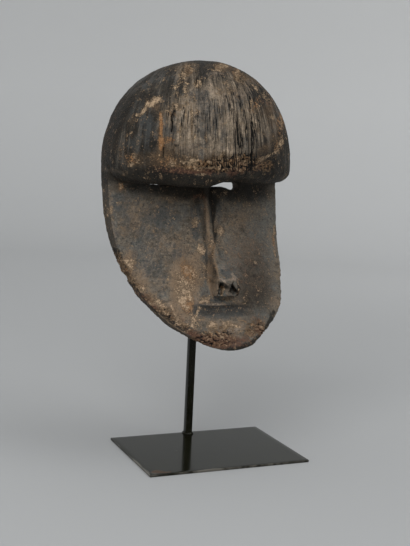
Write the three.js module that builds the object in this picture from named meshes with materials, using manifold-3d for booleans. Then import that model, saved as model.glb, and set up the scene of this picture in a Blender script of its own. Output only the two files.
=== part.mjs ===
// A carved wooden monkey mask on a blackened steel stand.
// Millimetres, +Z up. The origin is the middle of the base plate's underside and the mask looks
// along -Y. "Forward" below is a distance from the post's axis towards the viewer of the face.
// The mask is one carved piece: a domed forehead that overhangs like a visor, a thin face board
// that sweeps forward to the muzzle, a narrow nose, a shallow mouth, and a hollow open behind.
import * as THREE from "three";
import { mergeVertices } from "three/addons/utils/BufferGeometryUtils.js";
import Module from "manifold-3d";

const wasm = await Module();
wasm.setup();

// Stand
const PLATE_WIDTH = 140;
const PLATE_DEPTH = 100;
const PLATE_THICKNESS = 2;
const POST_SIDE = 6;
const PLATE_BEHIND_POST = 2.4;
const POST_Y = PLATE_DEPTH / 2 - PLATE_BEHIND_POST - POST_SIDE / 2;
const CONTACT_GAP = 0.3;

// Forehead dome, widest at its equator and cut off flat at the back rim
const DOME_EQUATOR_Z = 238.5;
const DOME_HALF_WIDTH = 81;
const DOME_RISE = 88.9;
const DOME_PEAK_FORWARD = 6;
const DOME_FRONT = 50; // how far it reaches before its peak
const DOME_FRONT_POWER = 1.9;
const DOME_BACK = 139; // where its back would close if it weren't cut off
const DOME_BACK_POWER = 2.2;
const DOME_ARCH_POWER = 2.12;
const DOME_RIM_FORWARD = -32;
const BROW_ROUNDING = 14; // in plan
// The brow hangs lower on the left of the face, with a notch just right of the nose.
const BROW_DROP_LEFT = 15.5;
const BROW_DROP_RIGHT = 11.5;
const BROW_STEP = { from: -10, to: 6 };
const BROW_NOTCH = { x: 11, width: 8, depth: 2 };
const DOME_WALL = 11;
const DOME_FLOOR_Z = 235.5; // floor of the hollow, over the brow
const CROWN_GAP = 0.6; // between the crown and the top of the post
const PAST_THE_BACK = 20; // how far the hollows are cut beyond the back rim

// Face board, from the brow down to the chin. Columns: height, half width, then how far forward
// the back rim, the front edge and the middle of the face stand.
const FACE_STATIONS = [
  [248, 78.0, -31, -9, 3],
  [236, 78.8, -31, -9, 4],
  [221, 79.2, -28, -9, 6],
  [199, 78.4, -23, -4, 14],
  [179, 76.6, -15, 4, 23],
  [159, 73.8, 0, 17, 37],
  [139, 67.2, 17, 35, 56],
  [124, 57.0, 34, 54, 69],
  [112, 43.4, 45, 69, 78],
  [105, 33.0, 49, 77, 84],
  [99.5, 22.2, 54, 83, 88],
  [96.9, 13.5, 60, 86, 88.5],
  [95.2, 5.5, 67, 85, 86],
];
const FACE_LEVELS = 32;
const FACE_ACROSS = 20;
const FACE_FALL = 1.4; // above 1, the rings lie closer together near the chin
const FACE_WALL_SIDE = 11;
const FACE_WALL_FRONT = 12;
const CHIN_SOLID = 12.5; // height of solid wood at the chin
const CHIN_LEAN = { left: 1.8, from: 130, to: 108 }; // the chin is carved a little off the middle

// Nose. Columns: height, half width at the cheeks, half width of the ridge, how far forward the
// ridge stands, and how far the nose leans to the right of the middle.
const NOSE_STATIONS = [
  [228, 3.6, 2.5, 13, 1],
  [219, 3.3, 2.4, 14, 1],
  [199, 2.9, 2.2, 21, 1.3],
  [184, 2.9, 2.3, 27, 1.4],
  [172, 3.5, 3.0, 33, 1.4],
  [165, 4.4, 4.4, 41, 1.2],
  [160, 5.2, 5.6, 52, 0.8],
  [155, 6.2, 7.6, 62, 0.4],
  [150, 7.6, 9.8, 70, 0.2],
  [146, 8.5, 10.7, 73, 0.2],
  [141, 9.1, 10.7, 72, 0.2],
  [136, 9.5, 10.3, 68, 0.2],
];
const NOSE_LEVELS = 30;
const NOSE_WALL = 9.6;
const NOSE_SET_IN = 5; // how deep its sides run into the face
const NOSE_SHOULDER = 1.5; // how far the ridge is rounded back
// Room carved for the wearer's nose behind the bridge
const NOSE_ROOM = { top: 240, bottom: 168, halfWidth: 7, corner: 3 };
const NOSTRIL = { offset: 6, forward: 70, z: 142, halfWidth: 3, depth: 14, halfHeight: 5.5 };

// Mouth, a shallow sunk band
const MOUTH = { halfWidth: 28, bottom: 118, top: 130, depth: 2.5, corner: 5, from: 100, to: 40 };

// Eye slits, left and right of the nose, under the brow
const EYE_SLITS = [
  { left: -46, right: -9, bottom: 220.3, top: 225.5 },
  { left: 9, right: 34, bottom: 219.4, top: 226 },
];
const EYE_SLIT_CORNER = 2;
const EYE_SLIT_CUT = { from: 22, to: -22 };

// Heights and widths between stations follow a smooth curve through them.
function stationAt(stations, height) {
  let i = 0;
  while (i < stations.length - 2 && stations[i + 1][0] > height) i += 1;
  const a = stations[i];
  const b = stations[i + 1];
  const before = stations[Math.max(i - 1, 0)];
  const after = stations[Math.min(i + 2, stations.length - 1)];
  const span = b[0] - a[0];
  const t = THREE.MathUtils.clamp((height - a[0]) / span, 0, 1);
  const t2 = t * t;
  const t3 = t2 * t;
  return a.map((value, k) => {
    const slopeA = (b[k] - before[k]) / (b[0] - before[0]);
    const slopeB = (after[k] - a[k]) / (after[0] - a[0]);
    return (
      (2 * t3 - 3 * t2 + 1) * value +
      (t3 - 2 * t2 + t) * span * slopeA +
      (3 * t2 - 2 * t3) * b[k] +
      (t3 - t2) * span * slopeB
    );
  });
}

function solidFromTriangles(position, index) {
  const geometry = new THREE.BufferGeometry();
  geometry.setAttribute("position", new THREE.Float32BufferAttribute(position, 3));
  geometry.setIndex(index);
  const merged = mergeVertices(geometry, 1e-4);
  return new wasm.Manifold(
    new wasm.Mesh({
      numProp: 3,
      vertProperties: merged.attributes.position.array,
      triVerts: new Uint32Array(merged.index.array),
    }),
  );
}

function solidFromGeometry(geometry) {
  const bare = geometry.index ? geometry.toNonIndexed() : geometry;
  const position = bare.attributes.position;
  return solidFromTriangles([...position.array], [...Array(position.count).keys()]);
}

function geometryFromSolid(solid) {
  const mesh = solid.getMesh();
  const geometry = new THREE.BufferGeometry();
  geometry.setAttribute("position", new THREE.BufferAttribute(mesh.vertProperties, 3));
  geometry.setIndex(new THREE.BufferAttribute(mesh.triVerts, 1));
  geometry.computeVertexNormals();
  return geometry;
}

// A closed body through rings of [x, forward, height] points that run from top to bottom.
function loft(rings) {
  const count = rings[0].length;
  const position = rings.flat().flatMap(([x, forward, z]) => [x, POST_Y - forward, z]);
  const index = [];
  for (let r = 0; r < rings.length - 1; r += 1) {
    for (let i = 0; i < count; i += 1) {
      const a = r * count + i;
      const b = r * count + ((i + 1) % count);
      index.push(a, b, b + count, a, b + count, a + count);
    }
  }
  const last = (rings.length - 1) * count;
  for (let i = 1; i < count - 1; i += 1) {
    index.push(0, i + 1, i);
    index.push(last, last + i, last + i + 1);
  }
  return solidFromTriangles(position, index);
}

// How large the dome's cross-section is at a depth: 1 at its peak, 0 where it would close
function domeFullness(forward) {
  const fromPeak = forward - DOME_PEAK_FORWARD;
  const reach = fromPeak > 0 ? DOME_FRONT : DOME_BACK;
  const power = fromPeak > 0 ? DOME_FRONT_POWER : DOME_BACK_POWER;
  return Math.max(1 - (Math.abs(fromPeak) / reach) ** power, 0) ** (1 / power);
}

// How far the brow's underside lies below the equator
function browDrop(x) {
  const step = THREE.MathUtils.smoothstep(x, BROW_STEP.from, BROW_STEP.to);
  const notch = BROW_NOTCH.depth * Math.exp(-(((x - BROW_NOTCH.x) / BROW_NOTCH.width) ** 2));
  return THREE.MathUtils.lerp(BROW_DROP_LEFT, BROW_DROP_RIGHT, step) - notch;
}

// The dome's outline at its equator, from its front to the middle of its side
function equatorOutline() {
  const points = [];
  const steps = 90;
  for (let i = 0; i <= steps; i += 1) {
    const forward = DOME_PEAK_FORWARD + DOME_FRONT * Math.cos((Math.PI * i) / (2 * steps));
    points.push(new THREE.Vector2(DOME_HALF_WIDTH * domeFullness(forward), forward));
  }
  const behind = DOME_RIM_FORWARD - PAST_THE_BACK;
  points.push(new THREE.Vector2(DOME_HALF_WIDTH * domeFullness(behind), behind));
  return points;
}

const outlinePoints = equatorOutline();

function distanceToOutline(x, forward) {
  const here = new THREE.Vector2(Math.abs(x), forward);
  let nearest = Infinity;
  for (let i = 0; i < outlinePoints.length - 1; i += 1) {
    const along = outlinePoints[i + 1].clone().sub(outlinePoints[i]);
    const from = here.clone().sub(outlinePoints[i]);
    const t = THREE.MathUtils.clamp(from.dot(along) / along.lengthSq(), 0, 1);
    nearest = Math.min(nearest, from.addScaledVector(along, -t).length());
  }
  return nearest;
}

// The dome is lofted through upright cross-sections from the back rim to the front: an arch
// over a brow whose edge is rounded all the way round.
function dome() {
  const archSteps = 40;
  const floorSteps = 20;
  const depthSteps = 20;
  const short = 0.02; // keeps the last section from closing to a point
  const front = DOME_PEAK_FORWARD + DOME_FRONT - short;
  const sections = [];
  for (let level = 0; level <= depthSteps; level += 1) {
    const turn = (Math.PI / 2) * (level / depthSteps);
    const forward = THREE.MathUtils.lerp(DOME_RIM_FORWARD, front, Math.sin(turn));
    const fullness = domeFullness(forward);
    const section = [];
    for (let i = 0; i <= archSteps; i += 1) {
      const angle = (Math.PI * i) / archSteps;
      const side = Math.cos(angle);
      section.push([
        DOME_HALF_WIDTH * fullness * Math.sign(side) * Math.abs(side) ** (2 / DOME_ARCH_POWER),
        forward,
        DOME_EQUATOR_Z + DOME_RISE * fullness * Math.sin(angle) ** (2 / DOME_ARCH_POWER),
      ]);
    }
    for (let i = 1; i < floorSteps; i += 1) {
      const x = -DOME_HALF_WIDTH * fullness * Math.cos((Math.PI * i) / floorSteps);
      const inside = Math.min(distanceToOutline(x, forward) / BROW_ROUNDING, 1);
      const drop = browDrop(x) * Math.sqrt(1 - (1 - inside) ** 2);
      section.push([x, forward, DOME_EQUATOR_Z - drop]);
    }
    sections.push(section);
  }
  return loft(sections);
}

// The hollow in the dome: the same arch, smaller by the wall, on a flat floor above the brow
function domeHollow() {
  const archSteps = 28;
  const depthSteps = 10;
  const short = 2; // the hollow ends flat
  const back = DOME_RIM_FORWARD - PAST_THE_BACK;
  const front = DOME_PEAK_FORWARD + DOME_FRONT - DOME_WALL - short;
  const sections = [];
  for (let level = 0; level <= depthSteps; level += 1) {
    const turn = (Math.PI / 2) * (level / depthSteps);
    const forward = THREE.MathUtils.lerp(back, front, Math.sin(turn));
    const stretch = forward > DOME_PEAK_FORWARD ? DOME_FRONT / (DOME_FRONT - DOME_WALL) : 1;
    const fullness = domeFullness(DOME_PEAK_FORWARD + (forward - DOME_PEAK_FORWARD) * stretch);
    const section = [];
    for (let i = 0; i <= archSteps; i += 1) {
      const angle = (Math.PI * i) / archSteps;
      const side = Math.cos(angle);
      const half = DOME_HALF_WIDTH * fullness - DOME_WALL;
      const rise = DOME_RISE * fullness - DOME_WALL;
      section.push([
        half * Math.sign(side) * Math.abs(side) ** (2 / DOME_ARCH_POWER),
        forward,
        DOME_EQUATOR_Z + rise * Math.sin(angle) ** (2 / DOME_ARCH_POWER),
      ]);
    }
    const corner = section[0][0];
    section.push([-corner, forward, DOME_FLOOR_Z]);
    section.push([corner, forward, DOME_FLOOR_Z]);
    sections.push(section);
  }
  return loft(sections);
}

// Face board: level rings with a straight back, straight sides and a bulging front. The front
// is set back by an inset, which gives the floor of the mouth.
function faceBoard(inset) {
  const rings = [];
  const top = FACE_STATIONS[0][0];
  const bottom = FACE_STATIONS.at(-1)[0];
  for (let level = 0; level <= FACE_LEVELS; level += 1) {
    const fall = 1 - (1 - level / FACE_LEVELS) ** FACE_FALL;
    const height = THREE.MathUtils.lerp(top, bottom, fall);
    const [, half, rim, edge, middle] = stationAt(FACE_STATIONS, height);
    const straight = THREE.MathUtils.smoothstep(height, CHIN_LEAN.to, CHIN_LEAN.from);
    const lean = CHIN_LEAN.left * (1 - straight);
    const ring = [[half - lean, rim, height]];
    for (let i = 0; i <= FACE_ACROSS; i += 1) {
      const turn = (Math.PI * i) / FACE_ACROSS;
      const bulge = (middle - edge) * Math.sin(turn) ** 2;
      ring.push([half * Math.cos(turn) - lean, edge + bulge - inset, height]);
    }
    ring.push([-half - lean, rim, height]);
    rings.push(ring);
  }
  return loft(rings);
}

// The hollow behind the face board, open at the back
function faceHollow() {
  const rings = [];
  const levels = 22;
  const top = DOME_FLOOR_Z + 1;
  const bottom = FACE_STATIONS.at(-1)[0] + CHIN_SOLID;
  for (let level = 0; level <= levels; level += 1) {
    const height = THREE.MathUtils.lerp(top, bottom, level / levels);
    const [, half, rim, edge, middle] = stationAt(FACE_STATIONS, height);
    const inner = half - FACE_WALL_SIDE;
    const open = rim - PAST_THE_BACK;
    const ring = [[inner, open, height]];
    const steps = 16;
    for (let i = 0; i <= steps; i += 1) {
      const turn = (Math.PI * i) / steps;
      const bulge = (middle - edge) * Math.sin(turn) ** 2;
      ring.push([inner * Math.cos(turn), edge + bulge - FACE_WALL_FRONT, height]);
    }
    ring.push([-inner, open, height]);
    rings.push(ring);
  }
  return loft(rings);
}

function nose() {
  const rings = [];
  const top = NOSE_STATIONS[0][0];
  const bottom = NOSE_STATIONS.at(-1)[0];
  for (let level = 0; level <= NOSE_LEVELS; level += 1) {
    const height = THREE.MathUtils.lerp(top, bottom, level / NOSE_LEVELS);
    const [, root, ridge, forward, lean] = stationAt(NOSE_STATIONS, height);
    const cheek = stationAt(FACE_STATIONS, height)[4];
    const half = [
      [root, cheek - NOSE_SET_IN],
      [root, cheek],
      [ridge, Math.max(forward - NOSE_SHOULDER, cheek + NOSE_SHOULDER / 3)],
      [ridge * 0.6, Math.max(forward, cheek + NOSE_SHOULDER)],
    ];
    const right = half.map(([x, y]) => [lean + x, y, height]);
    const left = half.map(([x, y]) => [lean - x, y, height]).reverse();
    rings.push([...right, ...left]);
  }
  return loft(rings);
}

function noseRoom() {
  const rings = [];
  const levels = 10;
  const { top, bottom, halfWidth, corner } = NOSE_ROOM;
  const open = DOME_RIM_FORWARD - PAST_THE_BACK;
  for (let level = 0; level <= levels; level += 1) {
    const height = THREE.MathUtils.lerp(top, bottom, level / levels);
    const deep = stationAt(NOSE_STATIONS, Math.min(height, NOSE_STATIONS[0][0]))[3] - NOSE_WALL;
    rings.push([
      [halfWidth, open, height],
      [halfWidth, deep - corner, height],
      [halfWidth - corner, deep, height],
      [corner - halfWidth, deep, height],
      [-halfWidth, deep - corner, height],
      [-halfWidth, open, height],
    ]);
  }
  return loft(rings);
}

function ellipsoid([radiusX, radiusForward, radiusZ], [x, forward, z]) {
  const geometry = new THREE.SphereGeometry(1, 16, 10);
  geometry.rotateX(Math.PI / 2);
  geometry.scale(radiusX, radiusForward, radiusZ);
  geometry.translate(x, POST_Y - forward, z);
  return solidFromGeometry(geometry);
}

// A rounded slot seen from the front, running back from one depth to another
function slot(left, right, bottom, top, corner, fromForward, toForward) {
  const shape = new THREE.Shape();
  shape.moveTo(left + corner, bottom);
  shape.lineTo(right - corner, bottom);
  shape.absarc(right - corner, bottom + corner, corner, -Math.PI / 2, 0);
  shape.lineTo(right, top - corner);
  shape.absarc(right - corner, top - corner, corner, 0, Math.PI / 2);
  shape.lineTo(left + corner, top);
  shape.absarc(left + corner, top - corner, corner, Math.PI / 2, Math.PI);
  shape.lineTo(left, bottom + corner);
  shape.absarc(left + corner, bottom + corner, corner, Math.PI, Math.PI * 1.5);
  const geometry = new THREE.ExtrudeGeometry(shape, {
    depth: fromForward - toForward,
    bevelEnabled: false,
    curveSegments: 4,
  });
  geometry.rotateX(Math.PI / 2);
  geometry.translate(0, POST_Y - toForward, 0);
  return solidFromGeometry(geometry);
}

function maskSolid() {
  let mask = dome().add(faceBoard(0)).add(nose());
  mask = mask.subtract(domeHollow()).subtract(faceHollow()).subtract(noseRoom());

  const { halfWidth, bottom, top, depth, corner, from, to } = MOUTH;
  const band = slot(-halfWidth, halfWidth, bottom, top, corner, from, to);
  mask = mask.subtract(band.subtract(faceBoard(depth)));

  for (const slit of EYE_SLITS) {
    const outline = [slit.left, slit.right, slit.bottom, slit.top, EYE_SLIT_CORNER];
    mask = mask.subtract(slot(...outline, EYE_SLIT_CUT.from, EYE_SLIT_CUT.to));
  }

  for (const side of [-1, 1]) {
    const radii = [NOSTRIL.halfWidth, NOSTRIL.depth, NOSTRIL.halfHeight];
    const middle = [side * NOSTRIL.offset, NOSTRIL.forward, NOSTRIL.z];
    mask = mask.subtract(ellipsoid(radii, middle));
  }
  return mask;
}

function addPiece(name, geometry, material, position) {
  const mesh = new THREE.Mesh(geometry, new THREE.MeshStandardMaterial(material));
  mesh.name = name;
  mesh.position.set(...position);
  part.add(mesh);
}

const WOOD = { color: 0x4a4038, roughness: 0.7, metalness: 0 };
const BLACK_STEEL = { color: 0x191915, roughness: 0.3, metalness: 0.6 };

const part = new THREE.Group();

addPiece("mask", geometryFromSolid(maskSolid()), WOOD, [0, 0, 0]);

addPiece(
  "base_plate",
  new THREE.BoxGeometry(PLATE_WIDTH, PLATE_DEPTH, PLATE_THICKNESS),
  BLACK_STEEL,
  [0, 0, PLATE_THICKNESS / 2],
);

// The post stands in the hollow behind the nose and ends under the crown
const crownInside = DOME_EQUATOR_Z + DOME_RISE * domeFullness(0) - DOME_WALL;
const postTop = crownInside - CROWN_GAP;
const postFoot = PLATE_THICKNESS + CONTACT_GAP;
addPiece(
  "post",
  new THREE.BoxGeometry(POST_SIDE, POST_SIDE, postTop - postFoot),
  BLACK_STEEL,
  [0, POST_Y, (postTop + postFoot) / 2],
);

export default part;
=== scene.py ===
"""A carved wooden mask on a black steel stand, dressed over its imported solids."""

import math

import bmesh
import bpy
import numpy as np
from mathutils import Matrix, Vector, noise
from mathutils.bvhtree import BVHTree


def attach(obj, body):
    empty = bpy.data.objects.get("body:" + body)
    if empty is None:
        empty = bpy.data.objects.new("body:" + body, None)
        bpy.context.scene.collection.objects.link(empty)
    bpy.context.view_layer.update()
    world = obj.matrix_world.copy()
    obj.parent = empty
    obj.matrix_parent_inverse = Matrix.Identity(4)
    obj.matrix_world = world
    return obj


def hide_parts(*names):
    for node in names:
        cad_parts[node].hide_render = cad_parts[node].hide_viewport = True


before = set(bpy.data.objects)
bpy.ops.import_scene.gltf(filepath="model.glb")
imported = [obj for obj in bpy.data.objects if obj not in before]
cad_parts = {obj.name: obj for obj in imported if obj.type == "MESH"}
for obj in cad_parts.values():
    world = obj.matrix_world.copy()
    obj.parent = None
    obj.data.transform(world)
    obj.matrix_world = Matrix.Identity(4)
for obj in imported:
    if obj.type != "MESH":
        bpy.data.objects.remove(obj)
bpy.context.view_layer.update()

bl_info = {
    "name": "Carved mask on a stand",
    "version": (1, 0, 0),
    "blender": (4, 5, 0),
    "location": "View3D > Sidebar > Mask",
    "description": "Builds the carved mask, its steel stand and the studio round them",
    "category": "Object",
}

MM = 0.001

# The photograph's camera, found from the plate and the post. Its place is in metres, its lens in
# millimetres, with the sensor's width along the photograph's height.
CAMERA_PLACE = Vector((-0.32371, -0.71477, 0.24981))
CAMERA_RIGHT = Vector((0.91705, -0.39598, 0.04703))
CAMERA_UP = Vector((0.00642, 0.13260, 0.99115))
CAMERA_FORWARD = Vector((0.39871, 0.90863, -0.12414))
CAMERA_LENS = 62.954
CAMERA_SENSOR = 36
PHOTO_WIDTH, PHOTO_HEIGHT = 410, 546

# ---------------------------------------------------------------- sizes and colours


class MaskSettings(bpy.types.PropertyGroup):
    voxel: bpy.props.FloatProperty(
        name="Mesh size",
        description="Edge length of the mesh on the outside",
        default=0.0013,
        unit="LENGTH",
    )
    hollow_share: bpy.props.FloatProperty(
        name="Share in the hollow",
        description="Share of the faces that the hollow keeps",
        default=0.15,
    )
    smoothing: bpy.props.IntProperty(
        name="Smoothing",
        description="How many times the broad surfaces are rubbed smooth",
        default=30,
    )
    # Also the colour of the painted shade under the brow, in the nostrils, along the rim and on
    # the side walls
    dark_wood: bpy.props.FloatVectorProperty(
        name="Dark wood",
        description="Smoked and handled surface",
        default=(0.023, 0.0195, 0.0145),
        subtype="COLOR",
    )
    blue_grey: bpy.props.FloatVectorProperty(
        name="Blue grey",
        description="Cool bloom on the dark wood",
        default=(0.056, 0.059, 0.058),
        subtype="COLOR",
    )
    face_wood: bpy.props.FloatVectorProperty(
        name="Face wood",
        description="Greyed brown of the face",
        default=(0.130, 0.108, 0.083),
        subtype="COLOR",
    )
    face_grey: bpy.props.FloatVectorProperty(
        name="Face grey",
        description="Cool bloom on the face",
        default=(0.098, 0.099, 0.091),
        subtype="COLOR",
    )
    face_warm: bpy.props.FloatVectorProperty(
        name="Face brown",
        description="Warm light brown where the face is worn",
        default=(0.205, 0.140, 0.088),
        subtype="COLOR",
    )
    pale: bpy.props.FloatVectorProperty(
        name="Pale wood",
        description="Rubbed pale wood of the face",
        default=(0.190, 0.150, 0.115),
        subtype="COLOR",
    )
    rust: bpy.props.FloatVectorProperty(
        name="Rust brown",
        description="Brown stains where the dark surface is thin",
        default=(0.105, 0.066, 0.036),
        subtype="COLOR",
    )
    inside: bpy.props.FloatVectorProperty(
        name="Hollow wood",
        description="Plain smoked wood of the hollow",
        default=(0.060, 0.044, 0.030),
        subtype="COLOR",
    )
    fibre: bpy.props.FloatVectorProperty(
        name="Weathered fibre",
        description="Bare grey fibres on the forehead",
        default=(0.335, 0.262, 0.188),
        subtype="COLOR",
    )
    tan: bpy.props.FloatVectorProperty(
        name="Bare wood",
        description="Wood where the dark surface has flaked off",
        default=(0.300, 0.215, 0.135),
        subtype="COLOR",
    )
    orange: bpy.props.FloatVectorProperty(
        name="Orange wood",
        description="Fresh wood in the deeper flakes",
        default=(0.290, 0.145, 0.060),
        subtype="COLOR",
    )
    red: bpy.props.FloatVectorProperty(
        name="Red brown",
        description="Red brown wood at the brow and chin",
        default=(0.110, 0.052, 0.032),
        subtype="COLOR",
    )
    pink: bpy.props.FloatVectorProperty(
        name="Bare face wood",
        description="Light wood where the face and chin are worn",
        default=(0.295, 0.212, 0.138),
        subtype="COLOR",
    )
    crack: bpy.props.FloatVectorProperty(
        name="Crack",
        description="Bottom of the cracks and worm holes",
        default=(0.006, 0.005, 0.004),
        subtype="COLOR",
    )


class StandSettings(bpy.types.PropertyGroup):
    edge: bpy.props.FloatProperty(
        name="Edge",
        description="Rounding of the steel edges",
        default=0.0003,
        unit="LENGTH",
    )
    steel: bpy.props.FloatVectorProperty(
        name="Black steel",
        description="Colour of the waxed black steel",
        default=(0.0080, 0.0080, 0.0040),
        subtype="COLOR",
    )
    rust: bpy.props.FloatVectorProperty(
        name="Rust",
        description="Brown rust at the plate's corner",
        default=(0.075, 0.045, 0.028),
        subtype="COLOR",
    )
    # Also the colour of the bright band along the plate's left and front edges, worn steel with a
    # painted highlight
    bare_steel: bpy.props.FloatVectorProperty(
        name="Bare steel",
        description="Bright scratches along the plate's edges",
        default=(0.160, 0.150, 0.130),
        subtype="COLOR",
    )


class StudioSettings(bpy.types.PropertyGroup):
    # The floor's grey turns into the backdrop's grey with distance and height on the paper: a
    # painted fall-off of the studio light
    backdrop: bpy.props.FloatVectorProperty(
        name="Backdrop",
        description="Pale grey of the backdrop",
        default=(0.56, 0.564, 0.562),
        subtype="COLOR",
    )
    floor: bpy.props.FloatVectorProperty(
        name="Floor",
        description="Pale grey of the floor",
        default=(0.335, 0.339, 0.34),
        subtype="COLOR",
    )
    wall_power: bpy.props.FloatProperty(
        name="Wall light", description="Power of the light on the wall", default=2.0, unit="POWER"
    )
    top_power: bpy.props.FloatProperty(
        name="Top light", description="Power of the top light", default=12, unit="POWER"
    )
    air: bpy.props.FloatProperty(
        name="Air light", description="Strength of the light from all round", default=0.42
    )
    key_power: bpy.props.FloatProperty(
        name="Main light", description="Power of the main light", default=25, unit="POWER"
    )
    fill_power: bpy.props.FloatProperty(
        name="Side light", description="Power of the side light", default=8, unit="POWER"
    )


# ---------------------------------------------------------------- finishes


class Value:
    """A number that varies over a surface. Python's operators on it add Math nodes."""

    def __init__(self, finish, socket):
        self.finish = finish
        self.socket = socket

    def maths(self, operation, *terms):
        inputs = dict(enumerate(terms))
        return self.finish.node("ShaderNodeMath", {"operation": operation}, inputs)

    def __add__(self, other):
        return self.maths("ADD", self, other)

    def __radd__(self, other):
        return self.maths("ADD", other, self)

    def __sub__(self, other):
        return self.maths("SUBTRACT", self, other)

    def __rsub__(self, other):
        return self.maths("SUBTRACT", other, self)

    def __mul__(self, other):
        return self.maths("MULTIPLY", self, other)

    def __rmul__(self, other):
        return self.maths("MULTIPLY", other, self)

    def greatest(self, other):
        return self.maths("MAXIMUM", self, other)

    def size(self):
        return self.maths("ABSOLUTE", self)

    def between(self, low, high):
        """0 at low and below, 1 at high and above, and smooth in between."""
        return self.finish.node(
            "ShaderNodeMapRange",
            {"interpolation_type": "SMOOTHSTEP"},
            {"Value": self, "From Min": low, "From Max": high},
        )


class Finish:
    """A material under construction."""

    def __init__(self, name):
        self.material = bpy.data.materials.new(name)
        self.material.use_nodes = True
        self.tree = self.material.node_tree
        self.tree.nodes.clear()
        self.place = self.node("ShaderNodeTexCoord", output="Object")

    def node(self, kind, settings=None, inputs=None, output=0):
        """Any node: its settings first, then the numbers or links of its sockets."""
        made = self.tree.nodes.new(kind)
        for key, value in (settings or {}).items():
            setattr(made, key, value)
        for key, value in (inputs or {}).items():
            if isinstance(value, Value):
                self.tree.links.new(value.socket, made.inputs[key])
            else:
                made.inputs[key].default_value = value
        return Value(self, made.outputs[output] if made.outputs else None)

    def attribute(self, name):
        """A number painted on the points of the piece."""
        return self.node("ShaderNodeAttribute", {"attribute_name": name}, output="Fac")

    def along(self, axis):
        """The distance along X, Y or Z, in metres."""
        return self.node("ShaderNodeSeparateXYZ", inputs={"Vector": self.place}, output=axis)

    def stretched(self, scale, place=None):
        """A place in millimetres, squeezed along each axis; Object coordinates if none."""
        squeeze = Vector(scale) if place else Vector(scale) / MM
        inputs = {"Vector": place or self.place, "Scale": squeeze}
        return self.node("ShaderNodeMapping", inputs=inputs)

    def noise(self, size, detail, rough, scale=(1, 1, 1), seed=0.0, place=None):
        """Soft blotches of about that many millimetres."""
        return self.node(
            "ShaderNodeTexNoise",
            {"noise_dimensions": "4D"},
            {
                "Vector": self.stretched(scale, place),
                "W": seed,
                "Scale": 1.0 / size,
                "Detail": detail,
                "Roughness": rough,
            },
        )

    def mix(self, factor, first, second):
        """A colour between two colours."""
        inputs = {0: factor}
        for key, colour in ((6, first), (7, second)):
            inputs[key] = colour if isinstance(colour, Value) else (*colour, 1.0)
        settings = {"data_type": "RGBA", "clamp_factor": True}
        return self.node("ShaderNodeMix", settings, inputs, output=2)

    def scaled(self, colour, scale):
        """A colour times a number."""
        inputs = {0: colour, "Scale": scale}
        return self.node("ShaderNodeVectorMath", {"operation": "SCALE"}, inputs)

    def bump(self, height, depth):
        """Fine relief, as deep as that many millimetres where the height is 1."""
        inputs = {"Height": height, "Distance": depth * MM, "Strength": 1.0}
        return self.node("ShaderNodeBump", inputs=inputs, output="Normal")

    def finished(self, **inputs):
        """The material, once its shader has these inputs."""
        shader = self.node(
            "ShaderNodeBsdfPrincipled",
            inputs={key.replace("_", " "): value for key, value in inputs.items()},
        )
        self.node("ShaderNodeOutputMaterial", inputs={"Surface": shader})
        return self.material
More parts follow.
